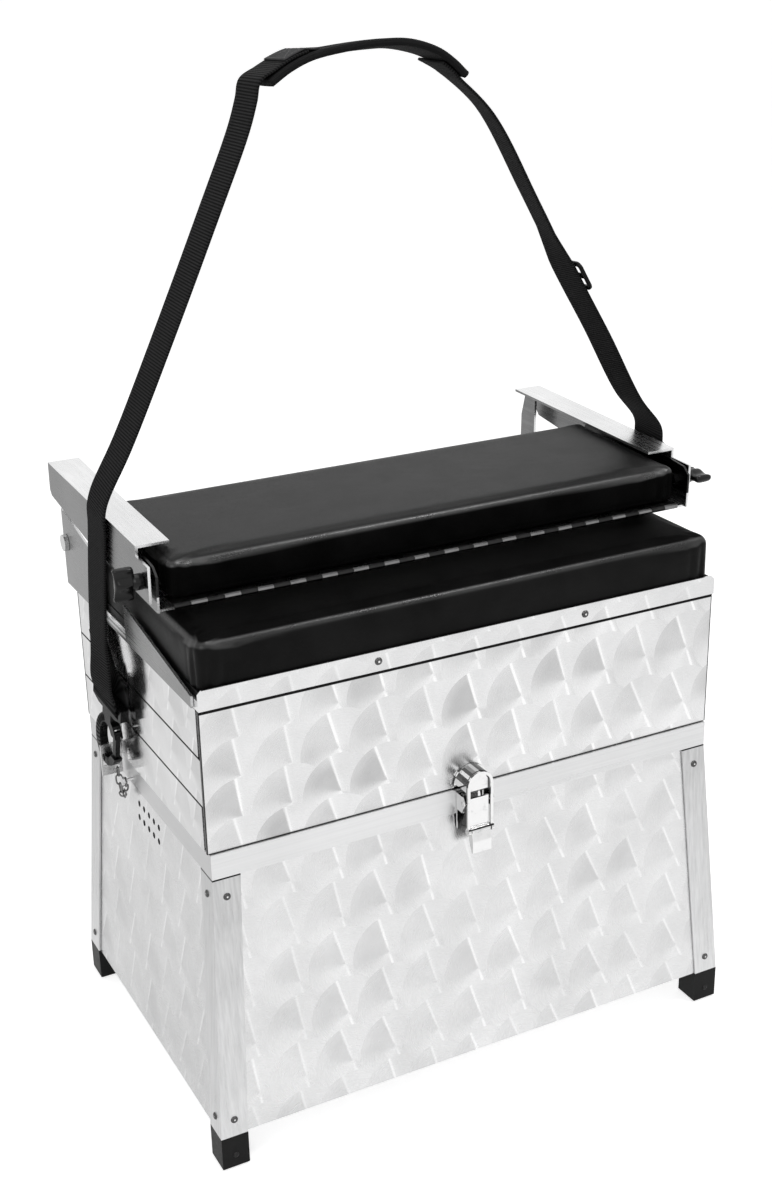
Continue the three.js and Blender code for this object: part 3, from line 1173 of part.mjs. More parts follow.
// The stay chain hangs in a slack loop from the left bracket's ear to the rim band's screw
function stay_chain() {
  const reach = (chain_wire - seam) / 2;    // from where two links meet to the middle of each one's wire
  const screw_reach = chain_screw_radius + seam + chain_wire / 2 - reach;
  const end_slope = THREE.MathUtils.degToRad(chain_end_slope_deg);
  const start = new THREE.Vector3(-chain_x, hook_bar_y, chain_hole_z - reach);
  const end = new THREE.Vector3(-chain_x, chain_screw_y - screw_reach * Math.cos(end_slope),
    chain_screw_z + screw_reach * Math.sin(end_slope));
  const between = (share, drop) => new THREE.Vector3().lerpVectors(start, end, share)
    .add(new THREE.Vector3(0, 0, -drop * chain_sag));
  const curve = new THREE.CatmullRomCurve3([start, between(0.1, 0.5), between(0.3, 0.92), between(0.5, 1),
    between(0.72, 0.7), end]);
  const links = Array.from({ length: chain_links }, (unused, i) => {
    const from = curve.getPointAt(i / chain_links);
    const to = curve.getPointAt((i + 1) / chain_links);
    const along = new THREE.Vector3().subVectors(to, from);
    const length = along.length() + 2 * reach + chain_wire;
    along.normalize();
    const flat = new THREE.Vector3(1, 0, 0);
    const turned = new THREE.Vector3().crossVectors(along, flat).normalize();
    const middle = new THREE.Vector3().lerpVectors(from, to, 1 / 2);
    return wire_loop(middle, along, i % 2 ? flat : turned, length, chain_link_width, chain_wire);
  });
  add('stay_chain', join(...links), steel);
}

lower_panels();
corner_angles();
feet();
rim_band();
upper_walls();
rear_hinges();
seat_lid();
backrest();
latch();
strap_fittings();
strap();
stay_chain();

export default seat_box;
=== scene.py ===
"""A fishing seat box with its backrest folded down and its shoulder strap standing up in an arch."""
import math
from fnmatch import fnmatch
from functools import partialmethod
from itertools import product

import bmesh
import bpy
from mathutils import Matrix, Vector, noise

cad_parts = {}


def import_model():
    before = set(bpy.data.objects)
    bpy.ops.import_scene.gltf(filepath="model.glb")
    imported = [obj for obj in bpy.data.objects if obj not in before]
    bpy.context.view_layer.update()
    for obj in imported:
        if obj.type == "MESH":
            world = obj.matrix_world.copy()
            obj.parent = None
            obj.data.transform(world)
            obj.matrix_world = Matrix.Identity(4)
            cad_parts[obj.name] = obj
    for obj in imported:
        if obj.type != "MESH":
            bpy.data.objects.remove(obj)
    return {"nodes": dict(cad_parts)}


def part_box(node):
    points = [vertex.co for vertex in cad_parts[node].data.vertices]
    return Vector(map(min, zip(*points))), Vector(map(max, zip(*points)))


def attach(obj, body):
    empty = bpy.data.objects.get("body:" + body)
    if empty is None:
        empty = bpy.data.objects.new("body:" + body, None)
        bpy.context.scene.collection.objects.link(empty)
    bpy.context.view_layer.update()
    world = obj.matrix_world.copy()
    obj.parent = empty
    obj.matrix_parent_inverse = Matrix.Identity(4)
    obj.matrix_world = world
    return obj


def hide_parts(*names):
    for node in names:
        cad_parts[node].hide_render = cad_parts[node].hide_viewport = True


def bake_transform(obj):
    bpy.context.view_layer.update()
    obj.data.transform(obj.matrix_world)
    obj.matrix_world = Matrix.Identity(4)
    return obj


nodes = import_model()["nodes"]
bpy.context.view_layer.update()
MM = 0.001
X, Y, Z = (Vector(axis) for axis in ((1, 0, 0), (0, 1, 0), (0, 0, 1)))
SIDES = (("left", -1), ("right", 1))

# Camera, fitted to the box's edges
CAMERA_PLACE = Vector((-571.33, -1104.18, 863.13)) * MM
CAMERA_TARGET = Vector((-4.07, 0, 366.99)) * MM
CAMERA_ROLL = math.radians(-1.159)
CAMERA_LENS = 33


def linked(name, data):
    made = bpy.data.objects.new(name, data)
    bpy.context.scene.collection.objects.link(made)
    return made


def make_camera():
    data = bpy.data.cameras.new("camera")
    data.sensor_fit = "VERTICAL"
    data.sensor_height = 24
    data.lens = CAMERA_LENS
    data.clip_start = 0.05
    forward = (CAMERA_TARGET - CAMERA_PLACE).normalized()
    right = forward.cross(Z).normalized()
    up = right.cross(forward)
    side = right * math.cos(CAMERA_ROLL) + up * math.sin(CAMERA_ROLL)
    top = -right * math.sin(CAMERA_ROLL) + up * math.cos(CAMERA_ROLL)
    camera = linked("camera", data)
    camera.matrix_world = Matrix((side, top, -forward)).transposed().to_4x4()
    camera.matrix_world.translation = CAMERA_PLACE
    bpy.context.scene.camera = camera


# Materials

class Graph:
    """The nodes of a material or of the world, made by short calls."""

    def __init__(self, owner, shader="Principled BSDF"):
        owner.use_nodes = True
        self.owner = owner
        self.nodes = owner.node_tree.nodes
        self.links = owner.node_tree.links
        self.shader = self.nodes[shader]

    def node(self, kind, values=(), **settings):
        """A node with its settings, and its inputs' values in their order or by name or number."""
        made = self.nodes.new("ShaderNode" + kind)
        for key, value in settings.items():
            setattr(made, key, value)
        for key, value in values.items() if isinstance(values, dict) else enumerate(values):
            self.put(made.inputs[key], value)
        return made

    def put(self, socket, value):
        if isinstance(value, bpy.types.NodeSocket):
            self.links.new(value, socket)
        elif value is not None:
            socket.default_value = value

    def math(self, operation, a, b=None, clamp=False):
        return self.node("Math", (a, b), operation=operation, use_clamp=clamp).outputs[0]

    add = partialmethod(math, "ADD")
    minus = partialmethod(math, "SUBTRACT")
    times = partialmethod(math, "MULTIPLY")
    over = partialmethod(math, "DIVIDE")
    most = partialmethod(math, "MAXIMUM")
    size = partialmethod(math, "ABSOLUTE")
    sine = partialmethod(math, "SINE")

    def vector(self, operation, a, b=None):
        made = self.node("VectorMath", (a, b), operation=operation)
        return made.outputs["Value" if operation == "LENGTH" else "Vector"]

    def scaled(self, place, *scale):
        return self.vector("MULTIPLY", place, scale)

    def mix(self, factor, a, b, kind="FLOAT"):
        first, output = {"FLOAT": (2, 0), "VECTOR": (4, 1)}[kind]
        made = self.node("Mix", data_type=kind, clamp_factor=True)
        for key, value in ((0, factor), (first, a), (first + 1, b)):
            self.put(made.inputs[key], value)
        return made.outputs[output]

    def place(self):
        return self.node("TexCoord").outputs["Object"]

    def facing(self):
        """The three parts of the surface's direction."""
        return self.split(self.node("TexCoord").outputs["Normal"])

    def split(self, vector):
        return self.node("SeparateXYZ", [vector]).outputs

    def join(self, *parts):
        return self.node("CombineXYZ", parts).outputs[0]

    def noise(self, place, scale, detail=2, roughness=0.5):
        values = {"Vector": place, "Scale": scale, "Detail": detail, "Roughness": roughness}
        return self.node("TexNoise", values).outputs["Fac"]

    def scatter(self, place):
        """Three chances from 0 to 1 that belong to this place."""
        return self.node("TexWhiteNoise", [place], noise_dimensions="3D").outputs["Color"]

    def range(self, value, low, high, to_low, to_high, smooth=False):
        kind = "SMOOTHSTEP" if smooth else "LINEAR"
        return self.node("MapRange", (value, low, high, to_low, to_high), interpolation_type=kind).outputs[0]

    def between(self, share, low, high):
        return self.range(share, 0, 1, low, high)

    def spread(self, value, low, high):
        """A noise, which lies mostly between 0.3 and 0.7, spread out from low to high."""
        return self.range(value, 0.3, 0.7, low, high)

    def rise(self, value, low, high, smooth=True):
        return self.range(value, low, high, 0, 1, smooth)

    def fall(self, value, low, high, smooth=True):
        return self.range(value, low, high, 1, 0, smooth)

    def grey(self, value, tint=(1, 1, 1)):
        return self.node("VectorMath", {0: tint, "Scale": value}, operation="SCALE").outputs[0]

    def bump(self, height, strength, distance, normal=None):
        values = {"Strength": strength, "Distance": distance, "Height": height, "Normal": normal}
        return self.node("Bump", values).outputs[0]

    def finish(self, color, rough, metallic=0, normal=None, **others):
        inputs = {"Base Color": color, "Roughness": rough, "Metallic": metallic, "Normal": normal}
        inputs.update((key.replace("_", " "), value) for key, value in others.items())
        for key, value in inputs.items():
            self.put(self.shader.inputs[key], value)
        return self.owner


def new_graph(name):
    return Graph(bpy.data.materials.new(name))


SWIRL_RADIUS = 0.031
HIGHLIGHT_HALF = 0.0008  # half the width of the painted highlight ray in a swirl
SPREAD = 0.2  # half the width over which rows and painted highlight rays open out
RIM_SHADE = 0.012  # a sheet's folded rim, which lies in shadow
HALVES = (0.5, 0.5, 0.5)
SCATTER = (0.05, 0.07, 0)  # how far centres stray, in pitches
SWIRL_HIGHLIGHT_ANGLES = (1.75, 1.97)  # the painted highlight rays' angles at the sheet's left and right
SIDE_HIGHLIGHT_ANGLES = (1.85, 1.95)


def top_swirl(g, here, metres):
    """The place in the swirl on top here, in metres from its centre, and that swirl's own cell."""
    cell = g.vector("FLOOR", here)
    picked = identity = None
    for corner in ((0, 1, 0), (1, 1, 0), (0, 0, 0), (1, 0, 0)):
        centre = g.vector("ADD", cell, corner)
        shift = g.vector("MULTIPLY", g.vector("SUBTRACT", g.scatter(centre), HALVES), SCATTER)
        offset = g.vector("SUBTRACT", g.vector("SUBTRACT", here, centre), shift)
        offset = g.vector("MULTIPLY", offset, metres)
        if picked is None:
            picked, identity = offset, centre
            continue
        inside = g.math("LESS_THAN", g.vector("LENGTH", offset), SWIRL_RADIUS)
        picked = g.mix(inside, picked, offset, "VECTOR")
        identity = g.mix(inside, identity, centre, "VECTOR")
    return picked, identity


def swirled(name, axes, column, rows, depth, base=0.8, highlight_angles=SWIRL_HIGHLIGHT_ANGLES, rough=0.25, edges=None, seams=()):
    """Engine-turned sheet: overlapping round swirls, each on top of the ones to its left and above, each with a
    painted reflection of a bright ray and grey fans.

    axes are (across, up); column is (pitch, one centre); depth is how strong the painted reflection is.
    rows are (pitch at the left, pitch at the right, one centre, its rise).
    edges are the sheet's (half width, bottom, top), along whose folded rims a shadow is painted; seams are heights
    where two sheets' folded rims meet, marked by a painted shadow line."""
    g = new_graph(name)
    place = g.place()
    parts = g.split(place)
    u, v = parts[axes[0]], parts[axes[1]]
    share = g.range(u, -SPREAD, SPREAD, 0, 1)
    pitch_left, pitch_right, row_centre, rise = rows
    pitch_up = g.between(share, pitch_left, pitch_right)
    lifted = g.minus(v, g.between(share, row_centre, row_centre + rise))
    here = g.join(g.over(g.minus(u, column[1]), column[0]), g.over(lifted, pitch_up))
    picked, identity = top_swirl(g, here, g.join(column[0], pitch_up))
    local = g.split(picked)
    radius = g.vector("LENGTH", picked)
    angle = g.math("ARCTAN2", local[1], local[0])
    chance = g.split(g.scatter(g.vector("ADD", identity, (0.37, 0.71, 0))))
    # a painted reflection: one bright painted highlight ray through each centre, a grey fan of painted shade to the
    # left of it above and to the right of it below
    highlight_angle = g.add(g.between(share, *highlight_angles), g.between(chance[0], -0.07, 0.07))
    turn = g.math("FLOORED_MODULO", g.minus(angle, highlight_angle), 2 * math.pi)
    past = g.minus(turn, g.between(chance[1], 0.85, 1.35))
    below = g.minus(turn, math.pi)
    lower = g.times(g.range(below, 0, 0.3, 0, 0.35, True), g.fall(below, 0.5, 1.3))
    painted_shade_fan = g.add(g.times(g.rise(turn, 0, 0.1), g.fall(past, -0.15, 0.7)), lower)
    painted_shade_fan = g.times(painted_shade_fan, g.between(chance[2], 0.45, 1.15))
    painted_shade_fan = g.times(painted_shade_fan, g.range(g.noise(place, 13, 2, 0.55), 0.36, 0.6, 0.55, 1.15, True))
    painted_shade_fan = g.times(painted_shade_fan, g.range(radius, SWIRL_RADIUS - 0.011, SWIRL_RADIUS, 1, 0.65, True))
    aside = g.times(g.size(g.sine(g.minus(angle, highlight_angle))), radius)
    # ray is the painted highlight along each swirl's bright ray
    ray = g.fall(aside, HIGHLIGHT_HALF * 0.4, HIGHLIGHT_HALF * 2)
    ray = g.times(ray, g.range(radius, 0.001, 0.006, 0.25, 1, True))
    ray = g.times(ray, g.between(chance[1], 0.35, 1.1))
    # painted highlights: a halo along the ray, and a glow over each swirl's lower left
    painted_halo = g.times(g.fall(aside, 0, 0.005), g.rise(turn, 1.4, 2.6))
    glow = g.fall(g.size(g.minus(turn, 2.25)), 0, 0.75)
    patch = g.noise(place, 21, 3, 0.55)
    lines = g.join(g.times(radius, 2300), g.times(angle, 1.3), g.times(chance[0], 40))
    scratches = g.noise(lines, 1, 2, 0.65)
    fine = g.noise(g.scaled(place, 900, 900, 900), 1, 1)
    # depth scales the painted shade and the painted highlights
    value = base
    for part, weight in ((painted_shade_fan, -0.185 * depth), (ray, 0.2 * (depth + 0.25)), (painted_halo, 0.05 * depth),
                         (glow, 0.06 * depth)):
        value = g.add(value, g.times(part, weight))
    value = g.add(value, g.spread(patch, -0.05, 0.05))
    value = g.add(value, g.spread(scratches, -0.012, 0.012), True)
    # painted shadow along the folded rims and along the seams
    if edges:
        half, bottom, top = edges
        rim = g.rise(v, top - 0.0029, top - 0.0025, False)
        rim = g.most(rim, g.rise(g.size(u), half - 0.001, half - 0.0006, False))
        rim = g.most(rim, g.fall(v, bottom + 0.0003, bottom + 0.0007, False))
        value = g.mix(rim, value, RIM_SHADE)
    for seam in seams:
        value = g.mix(g.fall(g.size(g.minus(v, seam)), 0.0005, 0.0009, False), value, RIM_SHADE)
    roughness = g.add(g.spread(scratches, rough - 0.04, rough + 0.06), g.times(painted_shade_fan, 0.04))
    height = g.add(g.times(scratches, 0.7), g.times(fine, 0.3))
    swirl = [0, 0, 0]
    swirl[axes[0]] = g.times(local[1], -1)
    swirl[axes[1]] = local[0]
    tangent = g.node("VectorTransform", [g.join(*swirl)], vector_type="VECTOR", convert_from="OBJECT",
                     convert_to="WORLD")
    return g.finish(g.grey(value, (1, 1, 1.004)), roughness, 1, g.bump(height, 0.22, 0.0001),
                    Anisotropic=0.45, Tangent=tangent.outputs[0])


def brushed(name, value, low_rough, high_rough, grain, patches, shaded_side_value, dark_nut=None, upright=None):
    """Plain metal with fine lines; grain is how fast they change along X, Y and Z.

    shaded_side_value is the painted shade of faces that look left or right.
    dark_nut is (x, z): what lies nearer the middle than x and above z is blackened.
    upright is (bottom, top) of a piece that is darker towards its top, with a painted shadow line at the top."""
    g = new_graph(name)
    place = g.place()
    turned = [g.size(part) for part in g.facing()]
    # faces that look left or right are painted darker: painted shade
    value = g.range(turned[0], 0.3, 0.8, value, shaded_side_value, True)
    flat = g.most(g.most(turned[0], turned[1]), turned[2])
    # bevelled edges are painted lighter, a painted highlight along them
    edge = g.range(flat, 0.84, 0.97, 0.24, 0, True)
    lines = g.noise(g.scaled(place, *grain), 1, 3, 0.65)
    patch = g.noise(place, patches, 3, 0.6)
    scuff = g.noise(g.scaled(place, 60, 60, 60), 4, 4, 0.7)
    shade = g.add(value, g.range(lines, 0.25, 0.75, -0.045, 0.045))
    shade = g.add(shade, g.spread(patch, -0.05, 0.04))
    shade = g.minus(shade, g.range(scuff, 0.66, 0.8, 0, 0.08))
    x, _, z = g.split(place)
    if upright:
        # darker towards the top
        shade = g.add(shade, g.range(z, upright[0], upright[1], 0.06, -0.08))
        shade = g.add(shade, g.range(lines, 0.25, 0.75, -0.05, 0.05))
    shade = g.add(shade, edge, True)
    if upright:
        # painted shadow line along the top
        shade = g.mix(g.rise(z, upright[1] - 0.0012, upright[1] - 0.0008, False), shade, 0.015)
    rough = g.add(g.spread(lines, low_rough, high_rough), g.spread(patch, -0.03, 0.04))
    if dark_nut:
        nut = g.times(g.math("LESS_THAN", g.size(x), dark_nut[0]), g.math("GREATER_THAN", z, dark_nut[1]))
        shade = g.mix(nut, shade, 0.03)
    return g.finish(g.grey(shade, (1, 1.002, 1.006)), rough, 1, g.bump(lines, 0.18, 0.00008), Anisotropic=0.3)


def bright(name, value, rough):
    """Plated steel, a little smeared."""
    g = new_graph(name)
    place = g.place()
    smear = g.noise(place, 90, 4, 0.6)
    marks = g.noise(g.scaled(place, 300, 900, 300), 1, 2, 0.6)
    depth = min(0.05, value * 0.25)
    shade = g.add(value, g.spread(smear, -depth, 0.6 * depth))
    roughness = g.add(g.range(smear, 0.3, 0.75, rough, rough + 0.06), g.range(marks, 0.5, 0.8, 0, 0.03))
    return g.finish(g.grey(shade), roughness, 1, g.bump(smear, 0.05, 0.0001))


def polished(name):
    """Bright chrome with painted reflections: light where it faces forwards, with the painted dark streaks of a
    curved mirror elsewhere.
    """
    g = new_graph(name)
    place = g.place()
    normal = g.facing()
    smear = g.noise(place, 120, 3, 0.6)
    front = g.add(g.times(normal[1], -1), g.spread(smear, -0.05, 0.05))
    streak = g.times(g.rise(front, 0.3, 0.42), g.fall(front, 0.8, 0.92))
    band = g.sine(g.add(g.times(normal[2], 9), g.times(normal[0], 4)))
    shade = g.add(0.1, g.range(band, 0.1, 0.9, 0, 0.62, True))
    shade = g.mix(g.rise(front, 0.86, 0.98), shade, 0.88)
    shade = g.mix(streak, shade, 0.035)
    shade = g.add(shade, g.spread(smear, -0.02, 0.02), True)
    return g.finish(g.grey(shade), g.range(smear, 0.3, 0.75, 0.05, 0.1), 1, g.bump(smear, 0.04, 0.0001))


def vinyl_cover(name, top_level, side_level, edge_highlight_level, dark):
    """Leather-like vinyl; its sheen is painted by which way it faces: one level on the flat top, one on the sides,
    and a painted highlight on the rounded edges.
    """
    g = new_graph(name)
    place = g.place()
    bent = g.vector("ADD", place, g.grey(g.noise(place, 260), (0.0012, 0.001, 0.0011)))
    cells = g.node("TexVoronoi", {"Scale": 620, "Vector": bent}, feature="DISTANCE_TO_EDGE")
    grain = g.rise(cells.outputs["Distance"], 0, 0.09)
    soft = g.noise(place, 28, 3, 0.55)
    creases = g.noise(g.scaled(place, 10, 22, 30), 1, 4, 0.6)
    facing = g.facing()[2]
    top = g.rise(facing, 0.72, 0.9)
    edge = g.times(g.rise(facing, 0.28, 0.52), g.fall(facing, 0.74, 0.9))
    shade = g.add(dark, g.add(g.spread(soft, -0.001, 0.002), g.times(grain, 0.001)))
    shade = g.most(shade, 0.0008)
    # painted sheen by facing, with the painted highlight along the rounded edges
    level = g.add(g.mix(top, side_level, top_level), g.times(edge, edge_highlight_level))
    level = g.times(level, g.spread(soft, 0.9, 1.12))
    rough = g.add(g.between(grain, 0.5, 0.4), g.spread(soft, -0.04, 0.05))
    rough = g.minus(rough, g.times(edge, 0.12))
    normal = g.bump(creases, 0.25, 0.0016, g.bump(grain, 0.32, 0.00014))
    return g.finish(g.grey(shade, (1, 0.99, 0.985)), rough, 0, normal, Specular_IOR_Level=level)


def woven(name, rib, yarn, value):
    """Webbing: ribs across its width, lying between edge cords; UV is metres across and along."""
    g = new_graph(name)
    across, along, _ = g.split(g.node("UVMap").outputs[0])
    wave = g.times(along, 2 * math.pi / rib)
    column = g.sine(g.times(across, 2 * math.pi / yarn))
    twill = g.sine(g.add(wave, g.times(column, 1.1)))
    edge = g.rise(g.size(across), 0.0165, 0.018)
    fuzz = g.noise(g.place(), 700, 3, 0.7)
    dirt = g.noise(g.place(), 35, 3, 0.6)
    height = g.add(g.times(twill, 0.5), g.times(g.sine(wave), 0.3))
    height = g.add(height, g.times(column, 0.15))
    # the ribs' crests are painted lighter than their hollows, a painted highlight on the weave
    shade = g.add(value, g.range(height, -0.9, 0.9, -0.006, 0.024))
    shade = g.add(shade, g.add(g.spread(dirt, -0.001, 0.002), g.times(edge, 0.002)))
    shade = g.add(shade, g.range(fuzz, 0.5, 0.8, 0, 0.002), True)
    normal = g.bump(g.add(height, g.times(fuzz, 0.5)), 0.7, 0.00022)
    rough = g.range(height, -0.9, 0.9, 0.85, 0.62)
    return g.finish(g.grey(shade, (1, 1, 1.02)), rough, 0, normal, Specular_IOR_Level=0.04)


def moulded(name, value, rough, grain, level=0.22):
    """Plastic with a fine grain, a little worn."""
    g = new_graph(name)
    place = g.place()
    texture = g.noise(place, grain, 2, 0.6)
    wear = g.noise(place, 60, 4, 0.65)
    shade = g.add(value, g.range(wear, 0.45, 0.75, 0, 0.004))
    roughness = g.add(g.spread(texture, rough - 0.05, rough + 0.08), g.range(wear, 0.4, 0.7, -0.02, 0.08))
    return g.finish(g.grey(shade), roughness, 0, g.bump(texture, 0.25, 0.0001), Specular_IOR_Level=level)


front_low, front_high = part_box("upper_front_panel")
angle_low, angle_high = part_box("corner_angle_front_left")
plank_tops = [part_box(f"left_plank_{row}")[1][2] for row in ("lower", "middle")]
carrier_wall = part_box("pad_carrier_right")[1][0] - 0.0022
ACROSS = (0, 2)
ALONG = (1, 2)
UPPER_SWIRL = swirled("swirl_upper", ACROSS, (0.0387, 0.0028), (0.031, 0.049, 0.285, 0), 1, 0.78,
                      edges=(front_high[0], front_low[2], front_high[2]))
LID_SWIRL = swirled("swirl_lid", ACROSS, (0.0387, 0.01), (0.036, 0.036, 0.392, 0), 0.45, 0.79)
LOWER_SWIRL = swirled("swirl_lower", ACROSS, (0.0386, -0.003), (0.0412, 0.0425, 0.0565, 0.007), 0.45, 0.765)
SIDE_SWIRL = swirled("swirl_side", ALONG, (0.0386, 0.01), (0.041, 0.042, 0.05, 0), 0.35, 0.66, SIDE_HIGHLIGHT_ANGLES)
PLANK_SWIRL = swirled("swirl_plank", ALONG, (0.0386, 0.004), (0.04, 0.04, 0.28, 0), 0.45, 0.66, SIDE_HIGHLIGHT_ANGLES,
                      0.1, seams=plank_tops)
FLOOR_SWIRL = swirled("swirl_floor", (0, 1), (0.0386, 0), (0.041, 0.041, 0, 0), 0.6)
SATIN_Z = brushed("satin_upright", 0.66, 0.26, 0.36, (420, 420, 5), 9, 0.64,
                  upright=(angle_low[2], angle_high[2]))
SATIN_LEVEL = brushed("satin_level", 0.76, 0.26, 0.38, (5, 5, 520), 7, 0.56)
SATIN_RAIL = brushed("satin_rail", 0.8, 0.22, 0.32, (480, 6, 480), 12, 0.21)
SATIN_CARRIER = brushed("satin_carrier", 0.8, 0.22, 0.32, (480, 6, 480), 12, 0.21, (carrier_wall, 0.444))
SATIN_PLATE = brushed("satin_plate", 0.62, 0.22, 0.32, (480, 6, 480), 20, 0.25)
STEEL = bright("zinc_steel", 0.62, 0.24)
# near-black steel; on the backrest hinge's lower leaf this darkness is painted shade
DARK_STEEL = bright("darkened_steel", 0.035, 0.34)
RIVET_STEEL = bright("rivet_steel", 0.1, 0.22)
PIN_STEEL = bright("rivet_pin", 0.85, 0.3)
HINGE_STEEL = bright("hinge_steel", 0.22, 0.26)
CHAIN_STEEL = bright("chain_steel", 0.2, 0.2)
CHROME = polished("chrome_plate")
PAD_VINYL = vinyl_cover("vinyl_backrest", 0.18, 0.012, 0.55, 0.0016)
SEAT_VINYL = vinyl_cover("vinyl_seat", 0.012, 0.1, 0.34, 0.0022)
WEBBING = woven("webbing_black", 0.0022, 0.0011, 0.0055)
PAD_FABRIC = woven("pad_fabric", 0.0008, 0.0007, 0.005)
SMOOTH_WEBBING = woven("webbing_patch", 0.0008, 0.0006, 0.055)
THREAD = moulded("thread_grey", 0.1, 0.6, 1500)
PLASTIC = moulded("plastic_black", 0.0025, 0.24, 1100, 0.16)
GLOSS_PLASTIC = moulded("plastic_gloss", 0.002, 0.16, 1500, 0.3)
FOOT_PLASTIC = moulded("plastic_feet", 0.005, 0.42, 700, 0.16)

# Names of the model's pieces, with * for any text
PAINTS = (
    (LOWER_SWIRL, "lower_front_panel", "lower_back_panel"),
    (UPPER_SWIRL, "upper_*_panel"),
    (SIDE_SWIRL, "lower_left_panel", "lower_right_panel"),
    (PLANK_SWIRL, "*_plank_*"),
    (FLOOR_SWIRL, "*_floor"),
    (SATIN_Z, "corner_angle_*"),
    (SATIN_LEVEL, "rim_band"),
    (LID_SWIRL, "seat_lid_pan"),
    (SATIN_RAIL, "rail_*"),
    (SATIN_CARRIER, "pad_carrier_*"),
    (SATIN_PLATE, "lid_side_plate_*"),
    (STEEL, "lower_hinge_*", "lid_hinge_*", "pivot_bolt_*", "strap_bracket_*"),
    (HINGE_STEEL, "pad_hinge_upper_leaf"),
    # the lower leaf is painted near black, painted shade, while its mate is plain steel
    (DARK_STEEL, "pad_hinge_lower_leaf"),
    (CHROME, "latch_*"),
    (FOOT_PLASTIC, "foot_*"),
    (PLASTIC, "snap_hook_*", "hook_gate_*"),
    (SEAT_VINYL, "seat_board"),
)
BEVELS = (("foot_*", 0.9), ("snap_hook_*", 0.9), ("corner_*", 0.5), ("rail_*", 0.5), ("*", 0.3))


def dress(name, node):
    """Gives one of the model's solids its material and its small bevels."""
    for material, *patterns in PAINTS:
        if any(fnmatch(name, pattern) for pattern in patterns):
            node.data.materials.clear()
            node.data.materials.append(material)
    bevel = node.modifiers.new("edges", "BEVEL")
    bevel.width = next(width for pattern, width in BEVELS if fnmatch(name, pattern)) * MM
    bevel.segments = 2
    bevel.limit_method = "ANGLE"
    bevel.angle_limit = math.radians(38)
    bevel.harden_normals = False


# Mesh helpers

def new_object(name, mesh, material):
    made = linked(name, mesh)
    mesh.materials.clear()
    mesh.materials.append(material)
    mesh.shade_smooth()
    return made


def from_points(name, points, faces, material):
    """A piece made of points in millimetres."""
    mesh = bpy.data.meshes.new(name)
    mesh.from_pydata([tuple(p * MM) for p in points], [], faces)
    mesh.update()
    return new_object(name, mesh, material)


def apply_modifiers(thing):
    graph = bpy.context.evaluated_depsgraph_get()
    mesh = bpy.data.meshes.new_from_object(thing.evaluated_get(graph))
    thing.modifiers.clear()
    old = thing.data
    thing.data = mesh
    bpy.data.meshes.remove(old)


def lerp(a, b, t):
    return a + (b - a) * t


def clamped(share):
    return max(0, min(1, share))


def bell(x, centre, width):
    return math.exp(-((x - centre) / width) ** 2)


def squared(value, power):
    """A cosine or sine pushed outwards by a power below 1, which makes a ring more like a rectangle."""
    return math.copysign(abs(value) ** power, value)


def circle(count):
    angles = [2 * math.pi * k / count for k in range(count)]
    return [(math.cos(angle), math.sin(angle)) for angle in angles]


def ring(centre, one, two, count, power=1, other_power=1):
    """Points round a centre, which reach the vectors one and two away from it."""
    return [centre + one * squared(c, power) + two * squared(d, other_power) for c, d in circle(count)]


def tube(base, rings, sides, closed=False, capped=True):
    """Faces of a tube of rings of points; a closed one runs back into its first ring."""
    faces = []
    for i in range(rings if closed else rings - 1):
        here, there = base + i * sides, base + (i + 1) % rings * sides
        for k in range(sides):
            n = (k + 1) % sides
            faces.append((here + k, there + k, there + n, here + n))
    if capped and not closed:
        last = base + (rings - 1) * sides
        faces += [tuple(range(base, base + sides)), tuple(reversed(range(last, last + sides)))]
    return faces


# Places in the folded backrest, whose origin is its pivot axis

PIVOT = Vector((0, 141.3, 413)) * MM
SLOPE = math.radians(2.1)
BACKREST = Matrix.Translation(PIVOT) @ Matrix.Rotation(SLOPE, 4, "X")
PAD_LOW = Vector((-219, -226, 31.9)) * MM
PAD_HIGH = Vector((219, -84, 64.6)) * MM


# Cushions

FACE_DEPTH = 0.006  # how far from a side a point counts as lying in its face
LID_INSIDE = 0.2192  # half the width between the lid pan's side lips
STRIP_BACK = -0.1342  # the front strip's rear face
STRIP_SHADE = 0.3835  # below this height the cover tucks in between the lips
CLOTH = {"quality": 5, "mass": 0.35, "tension_stiffness": 30, "compression_stiffness": 30,
         "shear_stiffness": 12, "bending_stiffness": 1.2, "air_damping": 4, "use_pressure": True,
         "vertex_group_mass": "pinned"}
CLOTH_FRAMES = 18


def graded(low, high, cell, fine=0.0021, zone=0.03):
    """Grid places from low to high, closer together near both ends."""
    near = round(min(zone, (high - low) / 3) / fine)
    middle = max(1, round((high - low - 2 * near * fine) / cell))
    places = [low + i * fine for i in range(near)]
    start, stop = low + near * fine, high - near * fine
    places += [start + (stop - start) * i / middle for i in range(middle)]
    return places + [high - (near - i) * fine for i in range(near + 1)]


